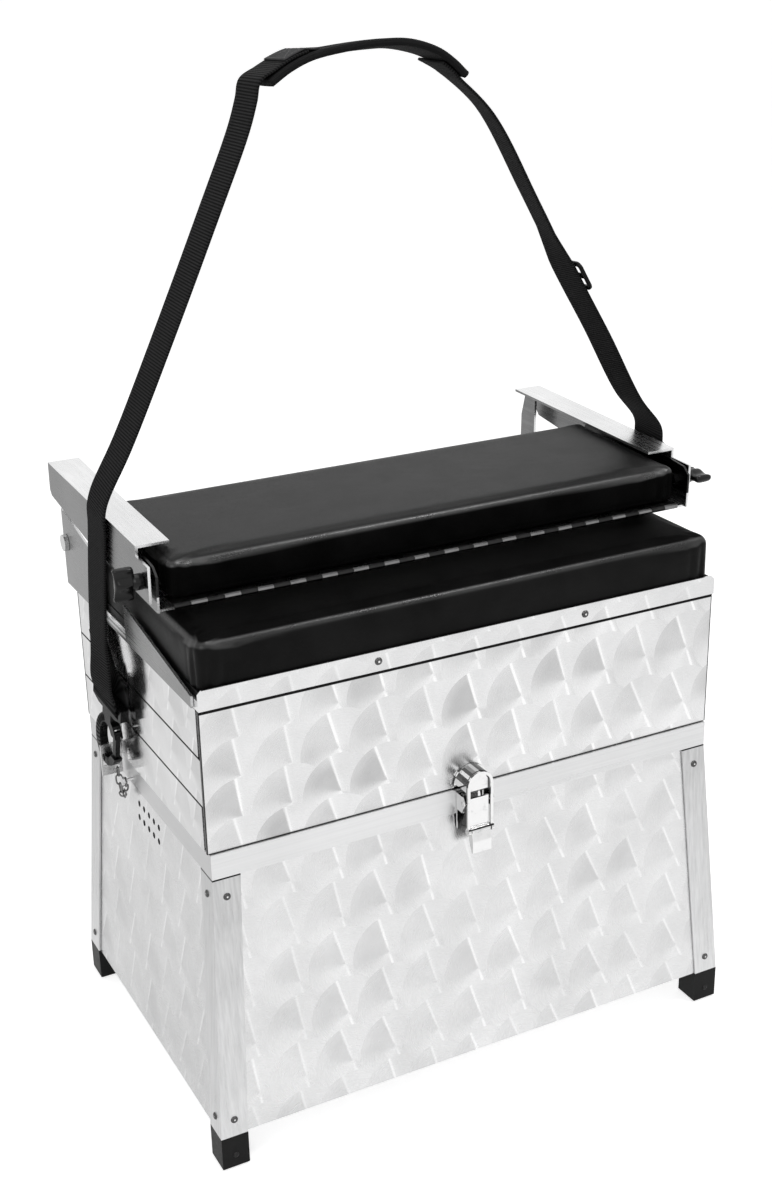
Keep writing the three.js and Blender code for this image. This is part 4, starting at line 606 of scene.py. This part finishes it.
def rounded_block(name, low, high, radius, cell, material, draw):
    """A block with round edges in a grid, its upright sides drawn in by up to draw between the corners."""
    size = high - low
    grid = (graded(low.x, high.x, cell), graded(low.y, high.y, cell), graded(low.z, high.z, cell, 0.0024, 0.01))
    counts = [len(places) - 1 for places in grid]
    made = bmesh.new()
    index = {}
    centre = (low + high) / 2
    inner = size / 2 - Vector((radius, radius, radius))

    def vertex(key):
        if key not in index:
            p = Vector(places[at] for places, at in zip(grid, key)) - centre
            core = Vector(max(-inner[n], min(inner[n], p[n])) for n in range(3))
            p = core + (p - core).normalized() * radius
            pull = draw * math.sin(math.pi * clamped((p.z + size.z / 2) / size.z))
            fades = [max(0, 1 - (p[n] / (size[n] / 2)) ** 8) for n in (0, 1)]
            for across, axis in ((0, 1), (1, 0)):
                if abs(p[axis]) > inner[axis]:
                    p[axis] -= math.copysign(pull * fades[across], p[axis])
            index[key] = made.verts.new(p + centre)
        return index[key]

    for axis in range(3):
        one, two = [n for n in range(3) if n != axis]
        for at, flip in ((counts[axis], axis == 1), (0, axis != 1)):
            for a, b in product(range(counts[one]), range(counts[two])):
                keys = [{axis: at, one: a + da, two: b + db} for da, db in ((0, 0), (1, 0), (1, 1), (0, 1))]
                corners = [vertex((key[0], key[1], key[2])) for key in keys]
                made.faces.new(corners[::-1] if flip else corners)
    bmesh.ops.recalc_face_normals(made, faces=made.faces[:])
    mesh = bpy.data.meshes.new(name)
    made.to_mesh(mesh)
    made.free()
    return new_object(name, mesh, material)


def puff(thing, pin_below, pressure, cap):
    """Blows the cover up with cloth simulation; no point moves further than the cap."""
    rest = [vertex.co.copy() for vertex in thing.data.vertices]
    group = thing.vertex_groups.new(name="pinned")
    for vertex in thing.data.vertices:
        if vertex.co.z < pin_below:
            group.add([vertex.index], 1, "REPLACE")
    cloth = thing.modifiers.new("cloth", "CLOTH")
    for key, value in CLOTH.items():
        setattr(cloth.settings, key, value)
    cloth.settings.uniform_pressure_force = pressure
    cloth.settings.effector_weights.gravity = 0
    cloth.point_cache.frame_start = 1
    cloth.point_cache.frame_end = CLOTH_FRAMES
    for number in range(1, CLOTH_FRAMES + 1):
        bpy.context.scene.frame_set(number)
    apply_modifiers(thing)
    for vertex, start in zip(thing.data.vertices, rest):
        move = vertex.co - start
        if move.length > cap:
            vertex.co = start + move.normalized() * cap
    bpy.context.scene.frame_set(1)
    thing.vertex_groups.clear()


def corner_creases(thing, low, high, depth):
    """Folds of the cover beside each upright corner, and its faint pulls between them."""
    for vertex in thing.data.vertices:
        p = vertex.co
        level = (p.z - low.z) / (high.z - low.z)
        if level < 0.02:
            continue
        inset = [min(p[axis] - low[axis], high[axis] - p[axis]) for axis in (0, 1)]
        fade = clamped((0.95 - level) / 0.5)
        for across, axis in ((0, 1), (1, 0)):
            if inset[axis] < FACE_DEPTH:
                near = inset[across]
                fold = bell(near, 0.0105, 0.0022) - 0.45 * bell(near, 0.015, 0.0026)
                inward = depth * fade * (fold + 0.5 * bell(near, 0.021, 0.0024))
                p[axis] += inward if p[axis] < (low[axis] + high[axis]) / 2 else -inward
        pulls = 0.0005 * noise.noise(Vector((p.x * 26, p.y * 26, p.z * 9 + low.z * 50))) * max(0, 1 - level / 0.45)
        for axis in (1, 0):
            if inset[axis] < FACE_DEPTH:
                p[axis] += pulls * (1 if p[axis] < (low[axis] + high[axis]) / 2 else -1)
        vertex.co = p


def smoothed(thing):
    modifier = thing.modifiers.new("smooth", "SUBSURF")
    modifier.levels = modifier.render_levels = 1
    apply_modifiers(thing)
    thing.data.shade_smooth()


def seat_cushion():
    low, high = (Vector(corner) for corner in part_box("seat_cushion"))
    low.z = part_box("seat_board")[0][2] + 0.0006
    inset = Vector((0.0016, 0.0016, 0))
    made = rounded_block("seat_cover", low + inset, high - inset - Z * 0.003, 0.0082, 0.0065,
                         SEAT_VINYL, 0.0008)
    puff(made, low.z + 0.004, 1.3, 0.0009)
    smoothed(made)
    corner_creases(made, low, high, 0.0012)
    for vertex in made.data.vertices:
        limit = LID_INSIDE - 0.001 * clamped((STRIP_SHADE - vertex.co.z) / 0.004)
        vertex.co.x = max(-limit, min(limit, vertex.co.x))
        vertex.co.y = max(STRIP_BACK, vertex.co.y)
    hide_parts("seat_cushion")
    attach(made, "seat_lid")


def backrest_cushion():
    inset = Vector((0.0015, 0.0015, 0))
    made = rounded_block("backrest_cover", PAD_LOW + inset, PAD_HIGH - inset - Z * 0.0024, 0.008,
                         0.0062, PAD_VINYL, 0.0006)
    puff(made, PAD_LOW.z + 0.003, 1.2, 0.0008)
    smoothed(made)
    corner_creases(made, PAD_LOW, PAD_HIGH, 0.0011)
    made.data.transform(BACKREST)
    made.data.update()
    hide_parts("backrest_cushion", "backrest_board")
    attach(made, "backrest")


# Curves through points, in millimetres

def catmull(points, share):
    """A centripetal curve that passes through every point."""
    count = len(points)
    p = (count - 1) * share
    i = min(int(math.floor(p)), count - 2)
    w = p - i
    p1, p2 = points[i], points[i + 1]
    p0 = points[i - 1] if i > 0 else points[0] * 2 - points[1]
    p3 = points[i + 2] if i + 2 < count else points[-1] * 2 - points[-2]
    dt0, dt1, dt2 = ((b - a).length ** 0.5 for a, b in ((p0, p1), (p1, p2), (p2, p3)))
    t1 = ((p1 - p0) / dt0 - (p2 - p0) / (dt0 + dt1) + (p2 - p1) / dt1) * dt1
    t2 = ((p2 - p1) / dt1 - (p3 - p1) / (dt1 + dt2) + (p3 - p2) / dt2) * dt1
    return p1 + t1 * w + (p2 * 3 - p1 * 3 - t1 * 2 - t2) * w * w + (p1 * 2 - p2 * 2 + t1 + t2) * w ** 3


def sampled(points, steps_each):
    total = steps_each * (len(points) - 1)
    return [catmull(points, i / total) for i in range(total + 1)]


def at_length(line, share):
    """The point at a share of a line's length, and the line's direction there."""
    lengths = [0]
    for a, b in zip(line, line[1:]):
        lengths.append(lengths[-1] + (b - a).length)
    goal = share * lengths[-1]
    i = next(i for i in range(len(line) - 1) if lengths[i + 1] >= goal)
    t = (goal - lengths[i]) / (lengths[i + 1] - lengths[i])
    return line[i].lerp(line[i + 1], t), (line[i + 1] - line[i]).normalized()


# The strap, in millimetres; its route lies up to about 5 off the model's webbing

WEB_WIDTH = 38
WEB_THICKNESS = 2.2
HOOK_X = 230.5
HOOK_BAR = Vector((0, 50, 259))
HOOK_TOP = 48.5
HOOK_EYE = 14
HOOK_EYE_BAR = 4
SLOT_Z = HOOK_TOP + HOOK_EYE / 2
WRAP = 3.5 + 1.1 + 0.6  # from the eye's middle to the webbing's, round the bar
LEAN = math.radians(13)
TURN = math.radians(7)
EXIT_X = HOOK_X + WRAP
EXIT_Y = HOOK_BAR.y - (HOOK_TOP + HOOK_EYE) * math.sin(LEAN)
EXIT_Z = HOOK_BAR.z + (HOOK_TOP + HOOK_EYE) * math.cos(LEAN) + 12
STRAP_X = 234.2  # where it passes the rail's upper edge
EDGE_Z = 413 + 68.8 * math.cos(SLOPE) - 141.3 * math.sin(SLOPE) + 3
PAD_END_Z = EDGE_Z + 291.8
PAD_MIDDLE_X = -17
PAD_Y = -1
PAD_HALF = 78
PAD_RISE = 21.8
PAD_WIDTH = 44
PAD_THICKNESS = 7
PAD_LIFT = (PAD_THICKNESS - WEB_THICKNESS) / 2 - 0.3
PAD_LEANS = (math.radians(1), math.radians(6.5), math.radians(2))
PAD_TURN = math.radians(14)
EDGE_TURN = math.radians(11)
# (out, forward, up, bulge) from the hook's eye to the rail's edge, then (inward, forward, up) to the pad
LEFT_LOWER = ((0, 0, 0, 0), (0.5, -0.02, 0.12, 0), (1, -0.06, 0.257, 0), (1, 0.31, 0.56, 0),
              (1, 0.81, 0.878, 0), (1, 1, 1, 0.08))
RIGHT_LOWER = ((0, 0, 0, 0), (0.5, 0.04, 0.12, 0.2), (1, 0.15, 0.257, 0.4), (1, 0.57, 0.56, 0.8),
               (1, 0.91, 0.84, 1), (1, 1, 0.96, 0.8))
LEFT_UPPER = ((0.018, 0.11, 0.041), (0.159, 0.41, 0.171), (0.419, 0.7, 0.432), (0.677, 0.93, 0.699),
              (0.871, 1, 0.901), (0.92, 1, 0.968), (0.946, 1, 1.012))
RIGHT_UPPER = ((-0.0087, -0.06, 0.021), (0.105, 0.06, 0.109), (0.267, 0.44, 0.295), (0.417, 0.69, 0.453),
               (0.625, 0.875, 0.679), (0.85, 1, 0.905))
WAYS = {-1: (12.5, LEFT_LOWER, LEFT_UPPER), 1: (-17, RIGHT_LOWER, RIGHT_UPPER)}
TAIL = ((1, 1), (0.68, 0.47), (0.39, 0))
PAD_SHAPE = ((-1, 0), (-0.82, 0.385), (-0.6, 0.69), (-0.25, 0.88), (0.1, 0.97), (0.4, 0.95), (0.7, 0.67),
             (0.88, 0.32), (1, 0))
SEWN_OVER = (0.05, 0.12, 0.17, 0.21)
SEWN_UNDER = (0.02, 0.06, 0.1, 0.13)


def hung(sx):
    """From a snap hook's own frame, whose origin is its bracket's bar, to the box's."""
    return (Matrix.Translation((sx * HOOK_X, HOOK_BAR.y, HOOK_BAR.z)) @ Matrix.Rotation(-sx * TURN, 4, "Z")
            @ Matrix.Rotation(LEAN, 4, "X"))


def pad_route():
    return [Vector((PAD_MIDDLE_X + along * PAD_HALF, PAD_Y, PAD_END_Z + up * PAD_RISE + PAD_LIFT))
            for along, up in PAD_SHAPE]


def pad_across(middle):
    along = min(1, max(-1, (middle.x - PAD_MIDDLE_X) / PAD_HALF))
    turn = PAD_TURN * max(0, along) ** 2
    lean = lerp(PAD_LEANS[1], PAD_LEANS[2 if along > 0 else 0], abs(along))
    return Vector((math.sin(turn), math.cos(turn) * math.cos(lean), -math.sin(lean)))


def beside_pad(share, offset):
    """A point on the pad's middle line moved off its face by offset."""
    middle, along = at_length(sampled(pad_route(), 30), share)
    return middle + along.cross(pad_across(middle)).normalized() * offset


def strap_route(sx):
    """From the tail inside the hook, round the eye's bar and up past the rail to the sewn end on the pad."""
    edge_y, lower, upper = WAYS[sx]
    tail = [Vector((sx * (HOOK_X - WRAP), EXIT_Y + back * 37.5, EXIT_Z + up * 34)) for back, up in TAIL]
    slot_half = HOOK_EYE / 2 - HOOK_EYE_BAR
    half = [(WRAP, SLOT_Z + slot_half + HOOK_EYE_BAR), (WRAP, SLOT_Z + slot_half),
            (WRAP * 0.86, SLOT_Z + slot_half * 0.42)]
    bend = [(-x, z) for x, z in half] + [(0, SLOT_Z)] + half[::-1]
    end_x = PAD_MIDDLE_X + sx * PAD_HALF
    rise = [Vector((sx * (lerp(EXIT_X, STRAP_X, out) + bulge * 5), lerp(EXIT_Y, edge_y, forward),
                    lerp(EXIT_Z, EDGE_Z, up))) for out, forward, up, bulge in lower]
    rise += [Vector((lerp(sx * STRAP_X, end_x, inward), lerp(edge_y, PAD_Y, forward), lerp(EDGE_Z, PAD_END_Z, up)))
             for inward, forward, up in upper]
    reach = (PAD_THICKNESS + WEB_THICKNESS) / 2 + 0.2
    if sx < 0:
        sewn = [beside_pad(share, reach - i * 0.25) for i, share in enumerate(SEWN_OVER)]
    else:
        sewn = [beside_pad(1 - share, -reach) for share in SEWN_UNDER]
    return tail + [hung(sx) @ Vector((sx * x, 0, z)) for x, z in bend] + rise + sewn


def leaning(sx):
    """The webbing's direction across: turned with the hook, then free, then as the pad's."""
    eye = hung(sx) @ Vector((0, 0, SLOT_Z))
    leaned = (hung(sx).to_3x3() @ Y).normalized()
    pad_end = pad_route()[0 if sx < 0 else -1]
    edgewise = Vector((0.86 * math.sin(EDGE_TURN), math.cos(EDGE_TURN), 0.51 * math.sin(EDGE_TURN)))

    def across(middle):
        far = clamped((middle - eye).length / 38 - 0.3)
        below = clamped((pad_end.z - middle.z) / 38)
        high = clamped((middle.z - 622) / 28) if sx > 0 else 0
        free = Y.lerp(edgewise, high)
        return leaned.lerp(free, far).lerp(pad_across(middle), 1 - below)
    return across


def ribbon(name, line, outline, across_at, material):
    """Carries an outline of (across, out) points along a line; UV is metres across and along."""
    points = []
    lengths = [0]
    for i, middle in enumerate(line):
        along = (line[min(len(line) - 1, i + 1)] - line[max(0, i - 1)]).normalized()
        across = across_at(middle)
        side = (across - along * across.dot(along)).normalized()
        face = along.cross(side)
        points += [middle + side * u + face * v for u, v in outline]
        if i:
            lengths.append(lengths[-1] + (middle - line[i - 1]).length)
    made = from_points(name, points, tube(0, len(line), len(outline)), material)
    places = [(u * MM, length * MM) for length in lengths for u, _ in outline]
    layer = made.data.uv_layers.new(name="metres")
    for loop, spot in zip(made.data.loops, layer.data):
        spot.uv = places[loop.vertex_index]
    return made


def flat_outline(width, thickness):
    half, thin = width / 2, thickness / 2
    top = [(-half + thin + (width - thickness) * i / 8, thin) for i in range(9)]
    turn = [(half - thin + thin * math.cos(a), thin * math.sin(a)) for a in (math.pi / 4, 0, -math.pi / 4)]
    return top + turn + [(-u, -v) for u, v in top + turn]


def straps():
    for side, sx in SIDES:
        line = sampled(strap_route(sx), 10)
        strap = ribbon(f"webbing_{side}", line, flat_outline(WEB_WIDTH, 2.1), leaning(sx), WEBBING)
        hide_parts(f"strap_webbing_{side}")
        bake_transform(strap)


def shoulder_pad():
    """A flat pad between two rolled edges."""
    half, thin = PAD_WIDTH / 2, PAD_THICKNESS / 2
    roll = 2.4
    side = [(half - roll + roll * math.cos(a) * 1.05, roll * math.sin(a) * 1.15)
            for a in (math.pi * (0.62 - 0.155 * i) for i in range(9))]
    face = [(-half + 2.6 * roll + (PAD_WIDTH - 5.2 * roll) * i / 6, thin * (0.8 + 0.12 * math.sin(math.pi * i / 6)))
            for i in range(7)]
    outline = face + side + [(-u, -v) for u, v in face + side]
    made = ribbon("shoulder_pad_cover", sampled(pad_route(), 8), outline, pad_across, PAD_FABRIC)
    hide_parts("shoulder_pad")
    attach(made, "seat_lid")


def patch_point(share):
    """Over the webbing's sewn end, and down on the pad's face behind it."""
    on_webbing = PAD_THICKNESS / 2 + WEB_THICKNESS + 0.6
    down = clamped((share - 0.62) / 0.22)
    return beside_pad(lerp(0.1, 0.262, share), lerp(on_webbing, PAD_THICKNESS / 2 + 0.4, down))


STITCH_BOX = ((-14.5, 0.05), (14.5, 0.05), (14.5, 0.94), (-14.5, 0.94), (-14.5, 0.05), (14.5, 0.94), (14.5, 0.05),
              (-14.5, 0.94))
STITCHES = 9  # along each line of the box and its cross


def stitched_patch():
    """The reinforcing patch over the webbing's sewn end, with its box of stitches."""
    line = [patch_point(i / 16) for i in range(17)]
    made = ribbon("strap_patch", line, flat_outline(35.5, 1), pad_across, SMOOTH_WEBBING)
    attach(made, "seat_lid")
    points, faces = [], []
    for (u0, s0), (u1, s1) in zip(STITCH_BOX, STITCH_BOX[1:]):
        for i in range(STITCHES):
            ends = []
            for t in ((i + 0.15) / STITCHES, (i + 0.8) / STITCHES):
                share = lerp(s0, s1, t)
                middle = patch_point(share)
                along = (patch_point(share + 0.02) - patch_point(share - 0.02)).normalized()
                side = pad_across(middle)
                ends.append(middle + side * lerp(u0, u1, t) + along.cross(side).normalized() * 0.6)
            a, b = ends
            flat = (b - a).normalized().cross(Z).normalized() * 0.35
            base = len(points)
            points += [a - flat, a + flat, b + flat, b - flat, a.lerp(b, 0.25) + Z * 0.25, a.lerp(b, 0.75) + Z * 0.25]
            faces += [[base + k for k in face] for face in ((0, 1, 4), (1, 2, 5, 4), (2, 3, 5), (3, 0, 4, 5))]
    thread = from_points("patch_stitches", points, faces, THREAD)
    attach(thread, "seat_lid")


# The adjuster and the buckle on the right webbing

def strap_frame(share, thickness):
    """Middle, across the webbing, along it, and off its outer face."""
    middle, along = at_length(sampled(strap_route(1), 30), share)
    across = (Y - along * along.y).normalized()
    face = across.cross(along)
    if face.x < 0:
        face, across = -face, -across
    return middle + face * ((WEB_THICKNESS + thickness) / 2 + 0.3), across, along, face


def bar(points, faces, corners, frame, wide, thick, closed=True):
    """Adds a round-edged bar along corners given across and along the webbing."""
    middle, across, along, face = frame
    count, sides = len(corners), 10
    faces += tube(len(points), count, sides, closed)
    for i, corner in enumerate(corners):
        before = corners[i - 1] if closed or i else corner
        after = corners[(i + 1) % count] if closed or i < count - 1 else corner
        ahead = (Vector(after) - Vector(before)).normalized()
        out = across * ahead.y - along * ahead.x
        centre = middle + across * corner[0] + along * corner[1]
        points += ring(centre, out * wide / 2, face * thick / 2, sides, 0.6, 0.6)


def rounded_corners(half_x, half_y, radius):
    made = []
    for (quarter, (cx, cy)), i in product(enumerate(((1, 1), (-1, 1), (-1, -1), (1, -1))), range(7)):
        angle = math.pi / 2 * (quarter + i / 6)
        made.append((cx * (half_x - radius) + radius * math.cos(angle),
                     cy * (half_y - radius) + radius * math.sin(angle)))
    return made


def adjusters():
    points, faces = [], []
    frame = strap_frame(0.66, 3)
    bar(points, faces, rounded_corners(21.5, 11, 3.5), frame, 4, 3)
    bar(points, faces, [(-21 + 42 * i / 6, 0) for i in range(7)], frame, 4.4, 2.6, False)
    adjuster = from_points("adjuster_frame", points, faces, PLASTIC)
    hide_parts("strap_adjuster")
    points = []
    middle, across, along, face = strap_frame(0.37, 8)
    rows, sides, half_long = 18, 26, 15
    for i in range(rows + 1):
        y = -half_long + 2 * half_long * i / rows
        end = max(0, abs(y) / half_long - 0.8) / 0.2
        half = (24 - 2.5 * math.cos(math.pi * y / half_long / 2) ** 2) * (1 - 0.06 * end ** 2)
        thick = 4 - 1.3 * end ** 2 - 0.3 * (i % 2)
        points += ring(middle + along * y, across * half, face * thick, sides, 0.35, 0.5)
    buckle = from_points("cam_buckle", points, tube(0, rows + 1, sides), PLASTIC)
    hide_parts("strap_buckle")
    for piece in (adjuster, buckle):
        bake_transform(piece)


# Wing knobs, and the ribs on the snap hooks' spines

KNOB_Y = -212  # the studs' axis in the backrest
KNOB_Z = 47
WING_DEPTH = 17
WING_HALF = 12.5


def wing_knob(side, sx):
    inner, outer = sorted(abs(corner[0]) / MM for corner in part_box(f"knob_{side}"))
    root = outer - WING_DEPTH
    points = []
    rows, sides = 26, 20
    for i in range(rows + 1):
        w = -1 + 2 * i / rows
        size = abs(w)
        close = math.sqrt(max(0.04, 1 - (max(0, size - 0.84) / 0.16) ** 2))
        thick = (2.2 + 2.7 * bell(w, 0, 0.33) + 1.3 * max(0, (size - 0.35) / 0.65) ** 2) * close
        outside = outer - 0.2 - 1.7 * (1 - size ** 2) - 2.2 * (1 - close)
        inside = root + 0.4 + 1.4 * size ** 2 + 2.2 * (1 - close)
        for c, d in circle(sides):
            x = (outside + inside) / 2 + squared(c, 0.55) * (outside - inside) / 2
            v = squared(d, 0.75) * thick * (1 + 0.18 * (outside - x) / WING_DEPTH)
            span = WING_HALF * w
            y, z = (v, span) if sx < 0 else (span, -v)
            points.append(Vector((sx * x, KNOB_Y + y, KNOB_Z + z)))
    faces = tube(0, rows + 1, sides)
    # the stud and the hub, as (outwards, radius)
    profile = [(inner, 0), (inner, 2.3), (inner + 0.8, 2.95), (root - 4.9, 2.95), (root - 4.9, 5.6),
               (root - 4.4, 6), (root + 1, 5.9), (root + 3.5, 4.6), (root + 4.5, 0)]
    turns = 28
    faces += tube(len(points), len(profile), turns, capped=False)
    for x, r in profile:
        points += ring(Vector((sx * x, KNOB_Y, KNOB_Z)), Y * r, Z * r, turns)
    made = from_points(f"wing_knob_{side}", points, faces, GLOSS_PLASTIC)
    made.data.transform(BACKREST)
    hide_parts(f"knob_{side}")
    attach(made, f"knob_{side}")


def hook_ribs():
    points, faces = [], []
    around, sides, count = 20, 6, 15
    half_spine = 3.45
    for _, sx in SIDES:
        place = hung(sx)
        for i in range(count):
            angle = math.radians(-84 + 154 * i / (count - 1))
            middle = Vector((0, 14.5 * math.cos(angle), 20 + 20 * math.sin(angle)))
            out = Vector((0, 20 * math.cos(angle), 14.5 * math.sin(angle))).normalized()
            along = Vector((0, -out.z, out.y))
            faces += tube(len(points), around, sides, True)
            for c, d in circle(around):
                centre = middle + (out * squared(c, 0.45) + X * squared(d, 0.45)) * half_spine
                away = (out * c + X * d).normalized()
                points += [place @ p for p in ring(centre, away * 0.75, along * 0.8, sides)]
    made = from_points("hook_ribs", points, faces, PLASTIC)
    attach(made, "upper_section")


# Rivets and screws

HEAD_PROFILE = [(1, -0.3), (1, 0.1), (0.93, 0.45), (0.75, 0.78), (0.5, 0.94), (0.3, 1)]


def dome(name, body, spots, radius, height, material, dimple=0):
    """Round heads at (place, outward direction) spots, with an optional dimple in the middle."""
    rings = HEAD_PROFILE + ([(0.24, 1 - dimple * 0.3), (0.14, 1 - dimple)] if dimple else [])
    tip_height = 1 - dimple if dimple else 1.02
    sides = 20
    points, faces = [], []
    for place, outward in spots:
        side = outward.orthogonal().normalized()
        other = side.cross(outward)
        start = len(points)
        for r, h in rings:
            points += ring(place + outward * height * h, side * radius * r, other * radius * r, sides)
        tip = len(points)
        points.append(place + outward * height * tip_height)
        faces += tube(start, len(rings), sides, capped=False)
        faces += [(tip - sides + k, tip, tip - sides + (k + 1) % sides) for k in range(sides)]
        faces.append(tuple(range(start, start + sides)))
    made = from_points(name, points, faces, material)
    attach(made, body)


def spot(x, y, z, outward):
    return Vector((x, y, z)), Vector(outward).normalized()


def raised(spots, height):
    return [(place + outward * height, outward) for place, outward in spots]


def angle_rivets(sx, sy, z):
    """One rivet at this height in each leg of a corner angle."""
    share = (z - 29.3) / 211.4
    x, y = lerp(231.5, 218.5, share), lerp(154.5, 136.5, share)
    return [spot(sx * x, sy * (y - 11), z, (sx, 0, 0.061)), spot(sx * (x - 11), sy * y, z, (0, sy, 0.085))]


def rivets():
    corners = [(sx, sy) for sy in (-1, 1) for sx in (-1, 1)]
    pop = [rivet for sx, sy in corners for z in (225.7, 43.3) for rivet in angle_rivets(sx, sy, z)]
    lid = [spot(x, -136, 382.1, (0, -1, 0)) for x in (-81, 97)]
    feet = [spot(sx * 220.5, sy * 154.5, 12, (0, sy, 0)) for sx, sy in corners]
    brackets = [spot(sx * 222.9, 63, 279.8, (sx, 0, 0)) for _, sx in SIDES]
    dome("pop_rivets", "lower_box", pop, 2.9, 1.3, RIVET_STEEL, 0.55)
    dome("pop_rivet_pins", "lower_box", raised(pop, 0.75), 1.3, 0.4, PIN_STEEL)
    dome("lid_screws", "seat_lid", lid, 3, 1.4, RIVET_STEEL, 0.5)
    dome("lid_screw_recesses", "seat_lid", raised(lid, 0.9), 1.4, 0.5, PIN_STEEL)
    dome("foot_screws", "lower_box", feet, 2.4, 1, DARK_STEEL, 0.6)
    dome("bracket_screws", "upper_section", brackets, 2.9, 1.4, STEEL, 0.5)


# The stay chain

CHAIN_WIRE = 1.5
CHAIN_X = -224.5
LINKS = 7
LINK_WIDTH = 6.5
SAG = 21
SAG_SHAPE = ((0.1, 0.5), (0.3, 0.92), (0.5, 1), (0.72, 0.7))


def chain():
    reach = (CHAIN_WIRE - 0.3) / 2
    screw_reach = 1.2 + 0.3 + CHAIN_WIRE / 2 - reach
    slope = math.radians(62)
    start = Vector((CHAIN_X, 50, 250 - reach))
    end = Vector((CHAIN_X, 31 - screw_reach * math.cos(slope), 246.3 + screw_reach * math.sin(slope)))
    hanging = [start.lerp(end, share) - Z * drop * SAG for share, drop in SAG_SHAPE]
    line = sampled([start] + hanging + [end], 40)
    joints = [at_length(line, i / LINKS)[0] for i in range(LINKS + 1)]
    points, faces = [], []
    around, sides = 28, 8
    for i, (a, b) in enumerate(zip(joints, joints[1:])):
        along = b - a
        half_length = along.length / 2 + reach
        along.normalize()
        across = X if i % 2 else along.cross(X).normalized()
        normal = along.cross(across).normalized()
        half_width = (LINK_WIDTH - CHAIN_WIRE) / 2
        faces += tube(len(points), around, sides, True)
        for c, d in circle(around):
            # a stadium: straight sides with round ends
            u = math.copysign(max(0, half_length - half_width), c) * min(1, abs(c) * 2.2) + half_width * c
            centre = (a + b) / 2 + along * u + across * half_width * d
            away = (along * c + across * d).normalized()
            points += ring(centre, away * CHAIN_WIRE / 2.1, normal * CHAIN_WIRE / 2.1, sides)
    made = from_points("chain_links", points, faces, CHAIN_STEEL)
    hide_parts("stay_chain")
    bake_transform(made)


# Floor, background and light

FLOOR_HALF = 60
FLOOR_SEEN = 0.66  # light added where the camera sees the floor, so that it looks white
FLOOR_MIRRORED = 0.55  # the share of it that reflections see
SURROUNDINGS = 0.42  # the background's light where neither the camera nor a mirror sees it


def lamp(name, place, aim, size, power):
    data = bpy.data.lights.new(name, "AREA")
    data.shape = "RECTANGLE"
    data.size = data.size_y = size
    data.energy = power
    thing = linked(name, data)
    thing.location = place
    thing.rotation_euler = (Vector(aim) - Vector(place)).to_track_quat("-Z", "Y").to_euler()


def studio():
    corners = [(x * FLOOR_HALF, y * FLOOR_HALF, 0) for x, y in ((-1, -1), (1, -1), (1, 1), (-1, 1))]
    floor = bpy.data.meshes.new("floor")
    floor.from_pydata(corners, [], [(0, 1, 2, 3)])
    ground = linked("floor", floor)
    g = new_graph("floor_white")
    speck = g.noise(g.place(), 3)
    g.finish(g.grey(g.spread(speck, 0.8, 0.82)), g.spread(speck, 0.85, 0.9), Specular_IOR_Level=0.05)
    ray = g.node("LightPath").outputs
    seen = g.add(ray["Is Camera Ray"], g.times(ray["Is Glossy Ray"], FLOOR_MIRRORED), True)
    glow = g.node("Emission", {"Strength": g.times(seen, FLOOR_SEEN)})
    both = g.node("AddShader", (g.shader.outputs[0], glow.outputs[0]))
    g.put(g.nodes["Material Output"].inputs["Surface"], both.outputs[0])
    floor.materials.append(g.owner)

    g = Graph(bpy.data.worlds.new("studio"), "Background")
    bpy.context.scene.world = g.owner
    ray = g.node("LightPath").outputs
    seen = g.add(ray["Is Camera Ray"], ray["Is Transmission Ray"], True)
    seen = g.add(seen, ray["Is Glossy Ray"], True)
    g.put(g.shader.inputs["Color"], (1, 1, 1, 1))
    g.put(g.shader.inputs["Strength"], g.between(seen, SURROUNDINGS, 1))

    lamp("key", (-1.6, -1.7, 1.9), (0, 0, 0.35), 1.6, 14)
    lamp("edge", (0.85, -0.75, 2.1), (0, 0, 0.4), 0.45, 9)
    lamp("top", (0.1, 0.5, 2.5), (0, 0, 0.3), 2.2, 14)


make_camera()
seat_cushion()
backrest_cushion()
straps()
shoulder_pad()
stitched_patch()
adjusters()
for side_name, side_sign in SIDES:
    wing_knob(side_name, side_sign)
hook_ribs()
rivets()
chain()
for node_name, solid in nodes.items():
    if not solid.hide_render:
        dress(node_name, solid)
studio()

bpy.context.scene.view_settings.view_transform = "Standard"
